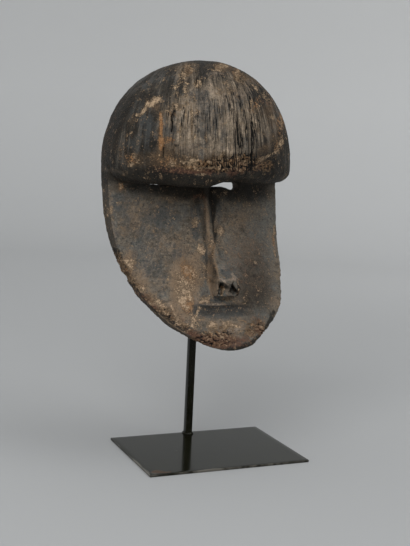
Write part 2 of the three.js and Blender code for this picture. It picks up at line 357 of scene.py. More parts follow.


# ---------------------------------------------------------------- wear, painted shade and painted highlights

# Marks seen in the photograph. Each is an oval: the pixel of its middle across and down, its half
# width and half height in pixels, its turn in degrees, anticlockwise, and its strength.

# Bare wood where the dark surface is gone
BARE = [
    (154.5, 101.5, 9, 3.2, 33, 1), (142.5, 111, 2.2, 5.6, -32, 1), (138.5, 114.5, 2.5, 2, 0, 0.6),
    (184, 75, 5, 4, 20, 0.55), (190, 67, 5, 3.5, 0, 0.6), (183, 83, 7, 2.5, 10, 0.55),
    (198.5, 83, 3, 4.5, -25, 0.8), (186, 91, 2.2, 5, 10, 0.75), (176, 90, 2, 5, 15, 0.35),
    (218, 67, 5, 3.5, 0, 0.8), (225, 66, 4, 2.5, 0, 0.7), (237.5, 73, 3.5, 3, 0, 0.8),
    (241, 80, 6, 3.5, -10, 0.6), (226, 83, 4, 2.5, 0, 0.5), (248, 79, 3.5, 2.5, -20, 0.5),
    (232, 92, 6, 5, -20, 0.4), (257, 88, 3, 2.5, -30, 0.5), (266, 96, 8, 2.5, -45, 0.45),
    (192, 123, 1.2, 13, 0, 0.6), (195.5, 136, 1.5, 3, 0, 0.6), (170, 112, 6, 6, 0, 0.4),
    (178, 107, 6, 4, 0, 0.4), (257, 111, 2, 8, -35, 0.55), (252, 104, 1.5, 3, 0, 0.6),
    (272, 118, 3.5, 4, 0, 0.4), (281.5, 128, 2, 12, 8, 0.4), (281, 143, 2.5, 7, -15, 0.6),
    (272, 154, 8, 1.5, 25, 0.55), (193.8, 163.5, 6, 4.5, 0, 0.8), (183, 162, 4, 3, 0, 0.5),
    (202, 168.5, 6, 1.4, 8, 0.8), (213, 167, 7, 1.2, 0, 0.8), (222, 160, 12, 4, 0, 0.5),
    (233, 166.5, 8, 2, 0, 0.8), (246, 163, 7, 5, 0, 0.65), (251.5, 155, 1.6, 5, 0, 0.7),
    (226, 154, 7, 3, 0, 0.4), (171.5, 165.5, 4.5, 2.5, 15, 0.4), (130.5, 163.5, 2.6, 2.6, 0, 0.7),
    (135, 157, 2, 2, 0, 0.3), (201, 174.5, 6, 1.2, 4, 0.7), (262, 160, 6, 2, 25, 0.6),
    (266, 170, 4, 3, 20, 0.4), (201, 249, 3.4, 5.2, 10, 0.8), (195, 222, 3.6, 4.8, 0, 0.6),
    (194.5, 226.5, 3, 1.2, 0, 0.7), (220.5, 231, 3.2, 3.4, 0, 0.5), (197.3, 313, 1.4, 6, -28, 0.8),
    (192, 279, 12, 10, 0, 0.4), (187, 303, 8, 9, 0, 0.55), (180, 288, 6, 16, 0, 0.4),
    (194, 322, 6, 8, -20, 0.45), (131, 264, 4, 7, 20, 0.75), (122, 259, 4, 8, 28, 0.5),
    (137, 279, 4, 8, 28, 0.45), (141, 290, 4, 5, 30, 0.45), (150, 299, 9, 6, -30, 0.4),
    (168, 311, 10, 6, -30, 0.55), (176, 318, 5, 3, -30, 0.6), (182, 326, 7, 4, -35, 0.5),
    (112, 214, 2.2, 8, 8, 0.55), (110.5, 200, 2, 12, 4, 0.3), (120.5, 187, 1.4, 3.4, 0, 0.7),
    (222, 325, 14, 4, 0, 0.6), (214, 326, 5, 4, -20, 0.6), (228, 333, 8, 2, 0, 0.5),
    (240, 327, 10, 6, 0, 0.35), (251, 332, 5, 4, 0, 0.6), (256, 323, 5, 5, 0, 0.4),
    (273.8, 232, 1.2, 7, 0, 0.8), (275, 254, 1.5, 3.5, 0, 0.5), (206, 298, 5, 3, 0, 0.45),
    (204.5, 302.5, 5, 1.6, 10, 0.75), (228, 300, 9, 3.5, -15, 0.35), (244, 204, 2, 2, 0, 0.3),
    (222.8, 291.5, 3.4, 4, -10, 0.75), (239.5, 286, 0.9, 6, 8, 0.4), (212, 243, 4, 4, 0, 0.5),
    (120, 268, 2.5, 8, 30, 0.6), (132, 278, 3, 6, 35, 0.6), (160, 305, 9, 3, -38, 0.6),
    (176, 319, 8, 3, -34, 0.6), (184, 296, 6, 14, 0, 0.4), (194, 270, 6, 8, 0, 0.3),
    (222.5, 292.5, 3.4, 4.5, 0, 1), (202, 249, 3, 5, 10, 0.5), (220, 90, 10, 4, 0, 0.25),
    (194, 163, 7, 4.5, -8, 0.7), (172, 163, 6, 4, 0, 0.2), (191.5, 124, 1.2, 16, 0, 0.7),
    (178, 108, 8, 3, 0, 0.5), (255, 262, 2, 1.5, 0, 0.6), (243, 303, 3, 1, 0, 0.6),
    (256, 286, 1.5, 1.5, 0, 0.5), (186, 116, 1.2, 12, 0, 0.5), (180, 130, 1.2, 14, 0, 0.5),
    (206, 135, 1.2, 14, 0, 0.4), (190, 100, 8, 5, 0, 0.3), (205, 266, 2, 8, 0, 0.3),
    (220.5, 231, 3.4, 3.6, 0, 0.6), (194.5, 223, 3.6, 4.6, 0, 0.5),
    (201.5, 249, 3.2, 5.4, 10, 0.5), (187, 287, 7, 18, 0, 0.22),
]
# Orange wood
ORANGE = [
    (161.4, 131, 1.4, 20, 0, 0.62), (160.6, 144, 2, 6, 0, 0.55), (167, 140, 6, 3, 8, 0.5),
    (190, 69, 4.5, 4.5, 0, 0.6), (237, 71, 4, 4, 0, 0.6), (218, 66.5, 5, 3, 0, 0.4),
    (200, 164, 12, 5, 0, 0.6), (226, 163.5, 15, 5, 0, 0.7), (248, 163, 10, 7, 0, 0.65),
    (171, 113, 5, 4, 0, 0.5), (281, 123, 3.5, 13, 6, 0.55), (278, 146, 5, 6, -15, 0.5),
    (170, 163, 14, 7, 0, 0.4), (131, 161, 5, 5, 0, 0.5), (128, 150, 8, 14, 0, 0.1),
    (187, 304, 7, 10, 0, 0.5), (192, 277, 11, 9, 0, 0.35), (250, 332, 5, 5, 0, 0.7),
    (131, 265, 5, 9, 20, 0.5), (139, 284, 5, 10, 28, 0.4), (170, 313, 10, 6, -30, 0.35),
    (120.5, 187, 2.2, 4, 0, 0.8), (220.5, 231, 4, 4, 0, 0.4), (211, 270, 4.5, 24, -3, 0.2),
    (274, 236, 1.8, 10, 0, 0.6), (197, 322, 6, 6, 0, 0.35), (221, 291, 4, 5, 0, 0.8),
    (255, 105, 5, 10, -25, 0.4), (222.5, 292.5, 4, 4, -10, 0.5), (217, 343, 3, 2, 0, 0.7),
    (245, 325, 10, 6, 10, 0.3), (187, 303, 6, 8, 0, 0.5), (190, 276, 8, 8, 0, 0.4),
    (222, 292, 4, 5, 0, 0.6), (202, 249, 3.5, 5, 10, 0.5), (193, 165, 8, 5, 0, 0.4),
    (174, 141, 6, 6, 0, 0.2), (184, 302, 5, 6, 0, 0.4), (188, 278, 6, 10, 0, 0.3),
    (196, 166, 10, 4, 0, 0.5), (240, 160, 10, 4, 0, 0.4), (210.5, 244, 3, 5, 10, 0.45),
    (201.5, 249, 3.4, 5.4, 10, 0.35), (161.5, 130, 1.6, 18, 0, 0.8), (163, 146, 2.2, 5, 0, 0.6),
    (186, 303, 6, 9, 0, 0.5), (190, 272, 5, 10, 0, 0.3), (184, 266, 5, 8, 0, 0.35),
    (189, 300, 5, 10, 0, 0.3),
]
# Red brown wood
RED = [
    (205, 171.5, 14, 4, 0, 0.6), (232, 172, 7, 5, 0, 0.7), (170, 168, 14, 5, 0, 0.4),
    (216, 341, 17, 5, -8, 0.9), (196, 334, 9, 5, -20, 0.6), (240, 342, 10, 5, 0, 0.5),
    (226, 333, 9, 3, 0, 0.5), (258, 324, 6, 8, 20, 0.5), (160, 305, 14, 6, -33, 0.35),
    (126, 272, 5, 16, 30, 0.55), (196, 197, 6, 4, 0, 0.4), (250, 162, 14, 8, 0, 0.4),
    (268, 100, 8, 8, 0, 0.3), (240, 262, 25, 40, 0, 0.2), (148, 299, 14, 4, -42, 0.55),
    (178, 320, 12, 5, -34, 0.5), (212, 344, 18, 4, -6, 0.9), (262, 332, 4, 9, 30, 0.7),
    (222, 338, 18, 5, -4, 0.6), (205, 205, 3, 16, 6, 0.3), (240, 168, 20, 5, 0, 0.5),
    (190, 171, 20, 3, 0, 0.5), (190, 331, 12, 4, -28, 0.3), (250, 334, 8, 5, 20, 0.5),
]
# Weathered grey fibres
WEATHERED = [
    (178, 126, 16, 24, 0, 0.6), (192, 122, 12, 26, 0, 0.8), (216, 124, 16, 32, 0, 0.85),
    (238, 128, 14, 36, 0, 0.6), (254, 132, 9, 32, 0, 0.4), (270, 120, 8, 20, 0, 0.25),
    (225, 152, 16, 5, 0, 0.6), (200, 90, 22, 12, 0, 0.4), (236, 84, 18, 12, 0, 0.5),
    (190, 72, 12, 8, 0, 0.5), (205, 125, 24, 26, 0, 0.8), (240, 135, 18, 32, 0, 0.4),
    (224, 326, 14, 5, 0, 0.2),
]
# Blue grey bloom
BLUE = [
    (145, 130, 6, 22, 0, 0.35), (166, 128, 4, 10, 0, 0.6), (200, 118, 4, 22, 0, 0.8),
    (197, 96, 9, 6, 0, 0.6), (250, 146, 10, 14, 0, 0.6), (216, 118, 2.5, 16, 0, 0.8),
    (240, 108, 5, 14, 0, 0.4), (183, 91, 5, 5, 0, 0.6), (150, 80, 18, 12, 30, 0.4),
    (195, 233, 4.5, 8, 10, 0.9), (205, 256, 3.5, 9, 0, 0.6), (216, 214, 9, 16, 0, 0.6),
    (194, 210, 5, 8, 0, 0.7), (160, 210, 34, 16, 0, 0.35), (150, 262, 18, 14, 0, 0.35),
    (180, 250, 8, 14, 0, 0.35), (218, 311.5, 27, 6.5, -2, 1), (190, 311, 5, 4, 0, 0.8),
    (218, 299.5, 9, 3, 0, 0.8), (228, 274, 5, 6, 0, 0.6), (165, 285, 12, 10, 0, 0.4),
    (243, 240, 14, 22, 0, 0.1), (205, 326, 6, 5, 0, 0.5), (115, 240, 4, 12, 15, 0.5),
    (207, 310, 16, 7, 0, 1), (228, 311, 20, 6.5, 0, 0.9), (248, 310, 10, 5, 0, 0.4),
    (152, 135, 7, 24, 0, 0.3), (200, 140, 10, 20, 0, 0.3), (227, 273, 6, 4, 0, 0.7),
    (208, 116, 4, 24, 0, 0.85), (173, 128, 3, 16, 0, 0.5), (228, 122, 3, 20, 0, 0.4),
    (120, 205, 10, 14, 0, 0.6), (150, 225, 26, 20, 0, 0.35), (165, 250, 16, 12, 0, 0.3),
    (224, 130, 3, 24, 0, 0.6), (234, 140, 5, 16, 0, 0.4), (152, 270, 16, 10, -20, 0.5),
    (135, 235, 10, 16, 0, 0.4), (205, 262, 1.6, 16, 2, 0.5), (222, 108, 6, 10, 0, 0.4),
    (150, 120, 8, 14, 0, 0.3), (210, 126, 5, 16, 0, 0.4), (172, 130, 4, 8, 0, 0.5),
    (212, 128, 12, 26, 0, 0.3), (176, 128, 8, 16, 0, 0.25),
]
# Darker wood, and painted shade under the brow, beside the nose ridge, in the nostrils and mouth,
# and along the lower rim
DARK_AND_SHADE = [
    (203, 68, 5, 8, 0, 0.6), (183, 91, 4, 4, 0, 0.6), (272, 167, 14, 12, 0, 0.7),
    (118, 150, 12, 30, 0, 0.3), (160, 174, 50, 5, 0, 0.8), (220, 345, 30, 3, -5, 0.3),
    (205, 183, 90, 5, 0, 0.6), (262, 104, 5, 8, 0, 0.4), (262, 150, 8, 8, 0, 0.3),
    (235, 176, 10, 3, 0, 0.6), (190, 172, 10, 3, 0, 0.3), (213.5, 205, 2, 20, -2, 1),
    (215.5, 236, 1.8, 10, -8, 0.8), (202.5, 215, 1.6, 24, 2, 0.6), (221.5, 285.5, 3, 2.4, -20, 1),
    (236.2, 288, 1.8, 7, 8, 1), (205, 311, 12, 5.5, 0, 0.55), (228, 312, 16, 5, 0, 0.45),
    (112, 130, 9, 38, 4, 0.8), (106, 160, 6, 20, 0, 0.8), (130, 100, 10, 12, -40, 0.5),
    (145, 140, 8, 22, 0, 0.35), (148, 165, 18, 6, 0, 0.4), (235.6, 288, 2, 7.5, -8, 1),
    (211, 199, 2, 15, 4, 1), (213, 222, 1, 14, 3, 0.9), (199.5, 215, 1, 26, 5, 0.5),
    (204, 238, 1.3, 8, 10, 0.5), (196, 203, 2.5, 4, 0, 0.5), (119, 263, 2.4, 9, 28, 1),
    (130, 283, 2.4, 9, 32, 1), (146, 300, 10, 2.4, -46, 1), (165, 316, 12, 2.4, -38, 1),
    (186, 330, 12, 2.4, -32, 1), (272, 318, 1.6, 9, 25, 0.8), (258, 339, 5, 4, 40, 0.8),
    (205, 342, 10, 2.5, -12, 0.7), (256, 285, 20, 36, 0, 0.5), (205, 180, 80, 4, 0, 0.4),
    (118, 110, 14, 20, 30, 0.5), (108, 150, 7, 26, 0, 0.6), (265, 168, 14, 9, 0, 0.6),
    (196, 338, 8, 2.5, -25, 0.9), (236, 349, 14, 2, 0, 0.7), (235.6, 288, 2.2, 7.5, -8, 1),
    (190, 80, 3, 8, -20, 0.6), (232, 80, 8, 2, 10, 0.5), (197, 118, 1.6, 20, 0, 0.5),
    (226, 112, 1.2, 16, 0, 0.4), (242, 228, 3, 4, 0, 0.3), (226, 219, 3, 4, 0, 0.4),
    (176, 146, 1.5, 1.5, 0, 0.9), (172, 150, 1.2, 1.2, 0, 0.9), (178, 145.5, 1.5, 1.2, 0, 0.9),
    (213, 262, 3.6, 20, 3, 0.45), (205.5, 262, 1.2, 22, 2, 0.5), (168, 172, 30, 4, 0, 0.4),
    (190, 96, 5, 4, 0, 0.3), (248, 130, 5, 26, 0, 0.25), (236, 130, 2, 20, 0, 0.3),
    (224, 292, 1, 5, 0, 0.3), (212, 339, 12, 2, -5, 0.6), (230, 343, 10, 2, -5, 0.6),
    (250, 245, 20, 60, 0, 0.3), (258, 295, 12, 16, 0, 0.3), (209, 187, 3, 4, 0, 1),
    (216, 307.5, 17, 1.8, 0, 0.7), (238, 306.5, 12, 1.5, -3, 0.5), (205, 338, 6, 1.8, 20, 0.7),
    (221, 345, 9, 1.8, 0, 0.7), (240, 341, 8, 1.6, -10, 0.5),
]
# Worm-eaten and crumbled wood
EATEN = [
    (200, 167, 14, 6, 0, 0.8), (225, 164, 18, 9, 0, 1), (248, 163, 12, 9, 0, 1),
    (268, 166, 9, 7, 20, 0.7), (171, 167, 5, 3, 0, 0.4), (188, 71, 8, 8, 0, 0.5),
    (198, 84, 4, 6, 0, 0.4), (220, 67, 8, 4, 0, 0.6), (241, 76, 11, 7, -20, 0.6),
    (215, 341, 20, 5, -6, 0.8), (256, 328, 7, 8, 20, 0.4), (165, 313, 14, 6, -32, 0.45),
    (128, 268, 5, 14, 25, 0.35), (172, 113, 7, 5, 0, 0.4), (131, 162, 4, 4, 0, 0.3),
    (280, 140, 5, 14, 0, 0.3), (262, 96, 10, 5, -45, 0.4), (225, 326, 18, 5, 0, 0.25),
    (224, 337, 26, 6, 0, 0.5), (262, 322, 8, 12, 30, 0.4), (118, 256, 3.5, 7, 30, 0.6),
    (126, 270, 3.5, 8, 30, 0.6), (136, 284, 3.5, 8, 40, 0.6), (150, 299, 7, 3.5, -42, 0.6),
    (168, 314, 10, 4, -36, 0.65), (186, 327, 9, 4, -33, 0.6), (210, 342, 16, 4, -6, 0.8),
    (262, 330, 4, 9, 28, 0.7), (244, 163, 14, 8, 0, 0.9), (222, 168, 18, 4, 0, 0.8),
    (186, 168, 8, 3, 0, 0.4), (222, 330, 16, 6, 0, 0.5), (205, 335, 12, 5, -20, 0.6),
    (250, 328, 8, 7, 0, 0.5), (212.5, 252, 1.6, 8, -12, 0.9),
]
# Rust brown stains
BROWN = [
    (124, 128, 8, 10, 0, 0.3), (118, 150, 7, 12, 0, 0.4), (135, 160, 10, 7, 0, 0.5),
    (132, 118, 6, 8, 0, 0.25), (147, 166, 8, 5, 0, 0.25), (111, 142, 4, 14, 0, 0.4),
    (161, 130, 5, 24, 0, 0.7), (168, 150, 10, 8, 0, 0.6), (158, 160, 10, 6, 0, 0.6),
    (170, 165, 12, 5, 0, 0.6), (190, 163, 14, 8, 0, 0.7), (215, 163, 22, 9, 0, 0.75),
    (240, 165, 15, 8, 0, 0.75), (273, 130, 8, 22, 8, 0.6), (262, 150, 10, 6, 20, 0.6),
    (268, 108, 6, 12, -35, 0.5), (255, 80, 10, 6, -35, 0.55), (185, 72, 12, 9, 25, 0.5),
    (222, 68, 14, 6, 0, 0.6), (240, 82, 12, 8, -20, 0.5), (230, 95, 14, 7, -10, 0.4),
    (150, 108, 12, 7, 35, 0.45), (180, 115, 10, 12, 0, 0.3), (215, 150, 14, 6, 0, 0.4),
    (225, 110, 6, 14, 0, 0.3), (207.5, 215, 3.2, 28, 2, 0.6), (213, 262, 5, 22, -12, 0.9),
    (213, 285, 4.5, 12, 0, 0.9), (212, 253, 3, 8, -15, 0.8), (188, 270, 12, 14, 0, 0.4),
    (190, 295, 10, 14, 0, 0.5), (185, 310, 12, 10, 0, 0.5), (150, 300, 14, 10, -35, 0.35),
    (175, 325, 14, 8, -35, 0.45), (130, 262, 6, 14, -20, 0.6), (143, 285, 7, 12, -30, 0.5),
    (120.5, 188, 3, 4, 0, 0.6), (225, 337, 22, 7, 0, 0.55), (258, 325, 9, 12, 30, 0.5),
    (270, 235, 3, 12, 10, 0.4), (262, 285, 9, 14, 0, 0.3), (240, 215, 8, 6, 0, 0.25),
    (104, 200, 3, 25, 2, 0.35), (108, 245, 3, 14, 8, 0.35), (150, 215, 14, 8, 0, 0.25),
    (230, 258, 10, 8, 0, 0.25), (182, 285, 10, 24, 5, 0.7), (180, 310, 12, 12, 0, 0.7),
    (128, 268, 8, 14, -20, 0.7), (150, 305, 14, 8, -38, 0.6), (172, 326, 14, 7, -35, 0.6),
    (184, 280, 11, 26, 6, 1), (182, 305, 13, 14, 0, 0.9), (196, 275, 8, 18, 0, 0.6),
    (128, 262, 7, 14, -20, 0.8), (138, 280, 8, 12, -35, 0.8), (153, 304, 12, 7, -40, 0.8),
    (170, 322, 13, 7, -38, 0.8), (222, 326, 20, 6, 0, 0.6), (206, 216, 3.2, 26, 7, 0.7),
    (212, 262, 4.5, 26, 3, 0.8), (184, 126, 10, 20, 0, 0.3), (232, 94, 13, 8, 0, 0.6),
    (222, 140, 6, 16, 0, 0.4), (200, 150, 12, 8, 0, 0.4), (187, 292, 9, 24, 0, 0.8),
    (196, 268, 5, 18, 0, 0.4), (255, 270, 16, 30, 0, 0.35), (240, 220, 14, 16, 0, 0.25),
    (230, 292, 3, 6, 0, 0.6), (205, 215, 3, 24, 6, 0.6), (172, 128, 8, 24, 0, 0.45),
    (190, 128, 5, 24, 0, 0.4), (212, 255, 4, 16, 0, 0.5), (150, 160, 14, 8, 0, 0.45),
    (186, 275, 12, 14, 0, 0.5), (176, 125, 10, 20, 0, 0.3), (245, 245, 16, 40, 0, 0.22),
    (252, 290, 14, 16, 0, 0.2), (214, 263, 4, 20, -5, 0.7), (190, 135, 12, 16, 0, 0.3),
]
# Pale rubbed wood, and painted highlights in thin strokes on the edges of the nose tip and the
# upper lip
PALE_AND_HIGHLIGHTS = [
    (111, 205, 2.6, 16, 3, 0.55), (114, 232, 2.6, 16, 8, 0.5), (118, 252, 3, 8, 15, 0.35),
    (150, 255, 22, 14, 0, 0.35), (165, 240, 14, 10, 0, 0.3), (160, 285, 12, 12, 0, 0.3),
    (185, 300, 8, 10, 0, 0.4), (235, 277, 1.5, 5, 25, 0.75), (226, 268, 6, 2, -8, 0.5),
    (238, 271, 2.5, 2, 0, 0.5), (213, 303.8, 12, 1.2, -3, 0.9), (243, 303.5, 4, 1, 0, 0.4),
    (205, 299, 9, 3, 0, 0.5), (232, 328, 14, 5, 0, 0.65), (215, 325, 8, 5, 0, 0.5),
    (205, 110, 12, 18, 0, 0.4), (190, 130, 8, 20, 0, 0.35), (236, 138, 5, 12, 0, 0.4),
    (215, 75, 12, 6, 0, 0.4), (245, 92, 8, 6, -20, 0.4), (188, 300, 10, 12, 0, 0.5),
    (140, 275, 8, 10, -30, 0.4), (160, 308, 10, 8, -30, 0.4), (232, 328, 14, 4, 0, 0.5),
    (224, 281, 8.5, 0.9, -33, 0.9), (234.5, 279, 8, 1, 63, 0.7), (216, 303.6, 12, 0.9, 2, 0.8),
    (232, 96, 10, 6, 0, 0.5), (190, 150, 12, 6, 0, 0.3), (221, 145, 7, 10, 0, 0.4),
    (229.6, 290, 1.5, 6, -5, 0.9), (222, 332, 14, 4, 0, 0.4), (226, 326, 15, 4, 0, 0.4),
]
# Close thin splits along the fibres
SPLIT = [
    (244, 130, 12, 44, 0, 1), (232, 128, 9, 34, 0, 0.8), (222, 120, 8, 30, 0, 0.5),
    (200, 125, 20, 28, 0, 0.3), (172, 128, 7, 22, 0, 0.45), (255, 90, 8, 14, -20, 0.6),
    (245, 160, 12, 10, 0, 0.8), (222, 162, 14, 7, 0, 0.5), (200, 80, 20, 10, 0, 0.3),
    (262, 120, 8, 24, 0, 0.35), (248, 132, 12, 34, 0, 0.7), (232, 132, 8, 24, 0, 0.5),
    (214, 122, 8, 20, 0, 0.35), (184, 122, 10, 16, 0, 0.35),
]
# Cracks from the top down in pixels, each with its half width and depth in millimetres
CRACKS = [
    ([(171.5, 115), (172, 122), (171.5, 132)], 0.59, 3),
    ([(171, 120), (172.8, 121), (172, 131)], 0.79, 2.5),
    ([(163.8, 147), (163.2, 158)], 0.59, 3),
    ([(196, 71), (197, 77), (196.4, 84)], 0.65, 2.5),
    ([(187, 63), (187.6, 72), (188, 80)], 0.54, 1.6),
    ([(212, 70), (213, 78)], 0.5, 1.5),
    ([(214.8, 103), (214.4, 116), (214.6, 127)], 0.5, 1.4),
    ([(249.5, 94), (250.5, 102), (251.3, 108)], 0.79, 3.5),
    ([(250.2, 108), (250, 117)], 0.59, 2.5),
    ([(247, 124), (246.4, 131), (247.2, 140)], 0.88, 4),
    ([(252.3, 117), (252.8, 130), (252.4, 142), (252.2, 156), (252, 169)], 0.88, 5),
    ([(254.6, 120), (255, 135), (254.4, 150), (254.4, 160)], 0.54, 2.5),
    ([(238.3, 119), (238, 130), (238.6, 145)], 0.59, 2.6),
    ([(241.2, 140), (240.4, 148)], 0.65, 2.8),
    ([(243.8, 140), (243.6, 152), (245, 161)], 0.59, 2.8),
    ([(230.2, 110), (230.8, 125), (230.6, 140), (231.5, 150)], 0.5, 1.8),
    ([(233.4, 118), (233.8, 134)], 0.5, 1.3),
    ([(226.6, 104), (226.4, 122)], 0.5, 1.2),
    ([(257.8, 114), (258.2, 130), (257.6, 146), (258, 164)], 0.5, 2),
    ([(261.4, 120), (261.6, 140)], 0.5, 1.5),
    ([(269, 100), (270.6, 109)], 0.7, 2.4),
    ([(220.4, 107), (220.6, 121)], 0.5, 1),
    ([(205.8, 108), (205.6, 140), (206.8, 150)], 0.5, 1),
    ([(209.2, 118), (209.6, 150)], 0.5, 1.1),
    ([(199.4, 120), (199.8, 146)], 0.5, 0.9),
    ([(236, 66), (236.4, 72)], 0.54, 1.8),
    ([(250.6, 80), (251, 88)], 0.54, 1.5),
    ([(235.2, 86), (235.6, 90)], 0.54, 1.5),
    ([(185.6, 122), (186, 132)], 0.5, 1),
    ([(177.4, 112), (177.8, 122)], 0.5, 1),
    ([(246.4, 150), (246.8, 163)], 0.54, 2.5),
    ([(223.2, 122), (223.4, 150)], 0.5, 1),
    ([(202.4, 110), (202.4, 132)], 0.5, 0.8),
    ([(197.8, 240), (197, 252), (195.6, 266), (193, 280), (191.6, 294)], 0.5, 0.5),
    ([(195.6, 199), (195, 203), (193.6, 206)], 0.5, 1.6),
    ([(196.8, 203), (197.6, 206)], 0.5, 1.2),
    # In the corner right of the nose ridge under the brow: a groove painted near black as shade
    ([(210.5, 188), (211, 196), (212, 206), (213, 218)], 1.2, 1.4),
]
# Painted shade: a dark line along the lower rim of the face, where its edge turns under, in
# pixels, and its half width in millimetres
RIM_SHADE = [
    (115, 250), (119, 263), (124, 273), (130, 283), (137, 292), (146, 301), (158, 311), (170, 320),
    (183, 329), (194, 335), (206, 341), (222, 346), (236, 348), (250, 344), (260, 336), (268, 325),
    (274, 312),
]
RIM_HALF_WIDTH = 2.8
# Shade under the brow and in the nostrils: x, z, half width, half height, turn and strength in
# millimetres, seen from the front
SHADE = [
    (9, 217, 5, 6, 0, 1), (-40, 220, 40, 8, 0, 0.75), (40, 219, 38, 10, 0, 0.85),
    (-14, 219, 20, 9, 0, 0.8), (0, 227, 90, 3.2, 0, 1), (-5.5, 146, 1.8, 2.4, 0, 0.8),
    (10.6, 142.5, 1.6, 5.5, -8, 0.9), (9, 214, 6, 9, 0, 1),
]
# Lips of the slits and floors of the nostrils, moved one by one: place, reach and shift in
# millimetres
LIPS = [
    ((-24, 46, 219), (22, 14, 5), (0, 0, 1.7)),
    ((-46, 46, 219), (10, 14, 5), (0, 0, 1.2)),
    ((-24, 6, 225), (22, 16, 5), (0, 0, -1.1)),
    ((17, 46, 217), (13, 14, 6), (0, 0, 2.3)),
    ((35, 50, 222), (6, 16, 20), (1.8, 0, 0)),
    ((-0.8, 24, 200), (10, 14, 26), (-1.6, 0, 0)),
    ((-71, 22, 145), (5, 24, 5), (1.1, 0, 0.6)),
    ((-66, 11, 136), (5, 24, 5), (0.8, 0, 0.5)),
    ((7, 4, 168), (9, 16, 14), (3, 0, 0)),
    ((-5.5, -9, 139), (4.6, 12, 6), (0, -8, 0)),
    ((6.5, -9, 138), (4, 12, 4.5), (0, -5, 0)),
]
# Worn facets: a place on each, the way it faces and its reach
FACETS = [
    ((-1, -25, 149), (0.08, -0.53, 0.84), 14),
    ((1, -27.8, 146.9), (-0.4, -0.75, -0.5), 13),
    ((1, -27.8, 146.9), (0.75, -0.55, -0.35), 11),
    ((7, 8, 164), (0.75, -0.45, 0.45), 8),
]
# On the plate, seen from above: x, y, half width and half depth in millimetres
RUST_PATCHES = [(-62, -44, 6, 5), (-55, -47, 5, 2.5)]
SCRATCHES = [
    (-69.8, -20, 1, 10), (-69.8, -40, 1.5, 8), (-66, -46, 3, 2), (-20, -49.8, 10, 0.8),
    (-28, 2, 1.5, 1), (0, 44.6, 4.5, 4.5),
]


# ---------------------------------------------------------------- carving

# The middle of the dome: what faces away from it is outside
OUTSIDE_CENTRE = (0.0, 100.0, 256.0)
# The heart of the log, and the distance from it at which the fibres have their true spacing
FIBRE_HEART = 70.0
FIBRE_RADIUS = 78.0
# The heights between which the face gives way to the forehead
BROW_LOW, BROW_HIGH = 226, 236
# Parts of the mask: half width, rearmost y, lowest and highest z in millimetres
ANY = math.inf
CROWN = (ANY, 66, 238, ANY)
CHEEKS = (70, ANY, 136, 212)
CHEEK_INNER = 15
NOSE = (20, ANY, 132, ANY)
NOSE_AND_LIPS = (22, ANY, 112, ANY)
NOSE_TIP = (15, 0, 130, 166)
FINE_NOSE = (15, 4, 130, 165)
MUZZLE = (40, -14, 106, 134)
MOUTH = (36, 4, 112, 127)
CHIN = (ANY, -20, 100, 114)
# How far either side of its outline an oval fades, as a share of its size
OVAL_FADE = 0.7
# A ray that misses the mask is moved towards this pixel near its middle, by this share a step
MIDDLE_PIXEL = (190, 200)
STEP_INWARDS, MOST_STEPS = 0.02, 12
# Half the width or height of the smallest oval on the wood
SMALLEST_OVAL = 0.8
# Below the brow, outside is forwards and a little down, and to the side beyond these distances
FORWARDS, DOWNWARDS = -0.85, -0.2
NOSE_TURN, FACE_TURN = 4, 60
# Which of many like sets of worm galleries is cut; without it each run cuts another
GALLERY_SEED = 1
# Sizes of the worm galleries and of the gouge cuts in the hollow, in millimetres
GALLERY_SIZE = (5, 3, 2.6)
GOUGE_SIZE = (9, 9, 16)
# Relief in millimetres
SWELL, DENTS, TOOL_MARKS, CRUMBS = 0.5, 0.25, 0.22, 0.12
FIBRE_DEPTH, WEATHERED_DEPTH, FLAKE_DEPTH, SPLIT_DEPTH = 0.06, 0.4, 0.35, 1.2
EATEN_DEPTH, GALLERY_DEPTH, CRUMB_DEPTH, GOUGE_DEPTH = 0.5, 1.5, 1.3, 0.7
# How sharply a noise is drawn together into thin lines
FIBRE_THINNESS, SPLIT_THINNESS, GALLERY_THINNESS = 3, 7, 5


def in_part(at, part):
    """Whether each point lies in a part of the mask."""
    half_width, rear, low, high = part
    x, y, z = at.T
    return (np.abs(x) < half_width) & (y < rear) & (z > low) & (z < high)


def mask_solid():
    """The solid mask as a tree that rays can be sent to."""
    shell = bmesh.new()
    shell.from_mesh(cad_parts["mask"].data)
    tree = BVHTree.FromBMesh(shell)
    shell.free()
    return tree


def seen_at(solid, across, down):
    """The place on the solid, in millimetres, that the photograph shows at a pixel."""
    focal = CAMERA_LENS / CAMERA_SENSOR * PHOTO_HEIGHT
    for step in range(MOST_STEPS):
        share = STEP_INWARDS * step
        u = across + (MIDDLE_PIXEL[0] - across) * share - PHOTO_WIDTH / 2
        v = PHOTO_HEIGHT / 2 - down - (MIDDLE_PIXEL[1] - down) * share
        ray = CAMERA_FORWARD + CAMERA_RIGHT * (u / focal) + CAMERA_UP * (v / focal)
        place = solid.ray_cast(CAMERA_PLACE, ray)[0]
        if place is not None:
            return np.array(place) / MM
    raise ValueError(f"no wood at pixel {across}, {down}")


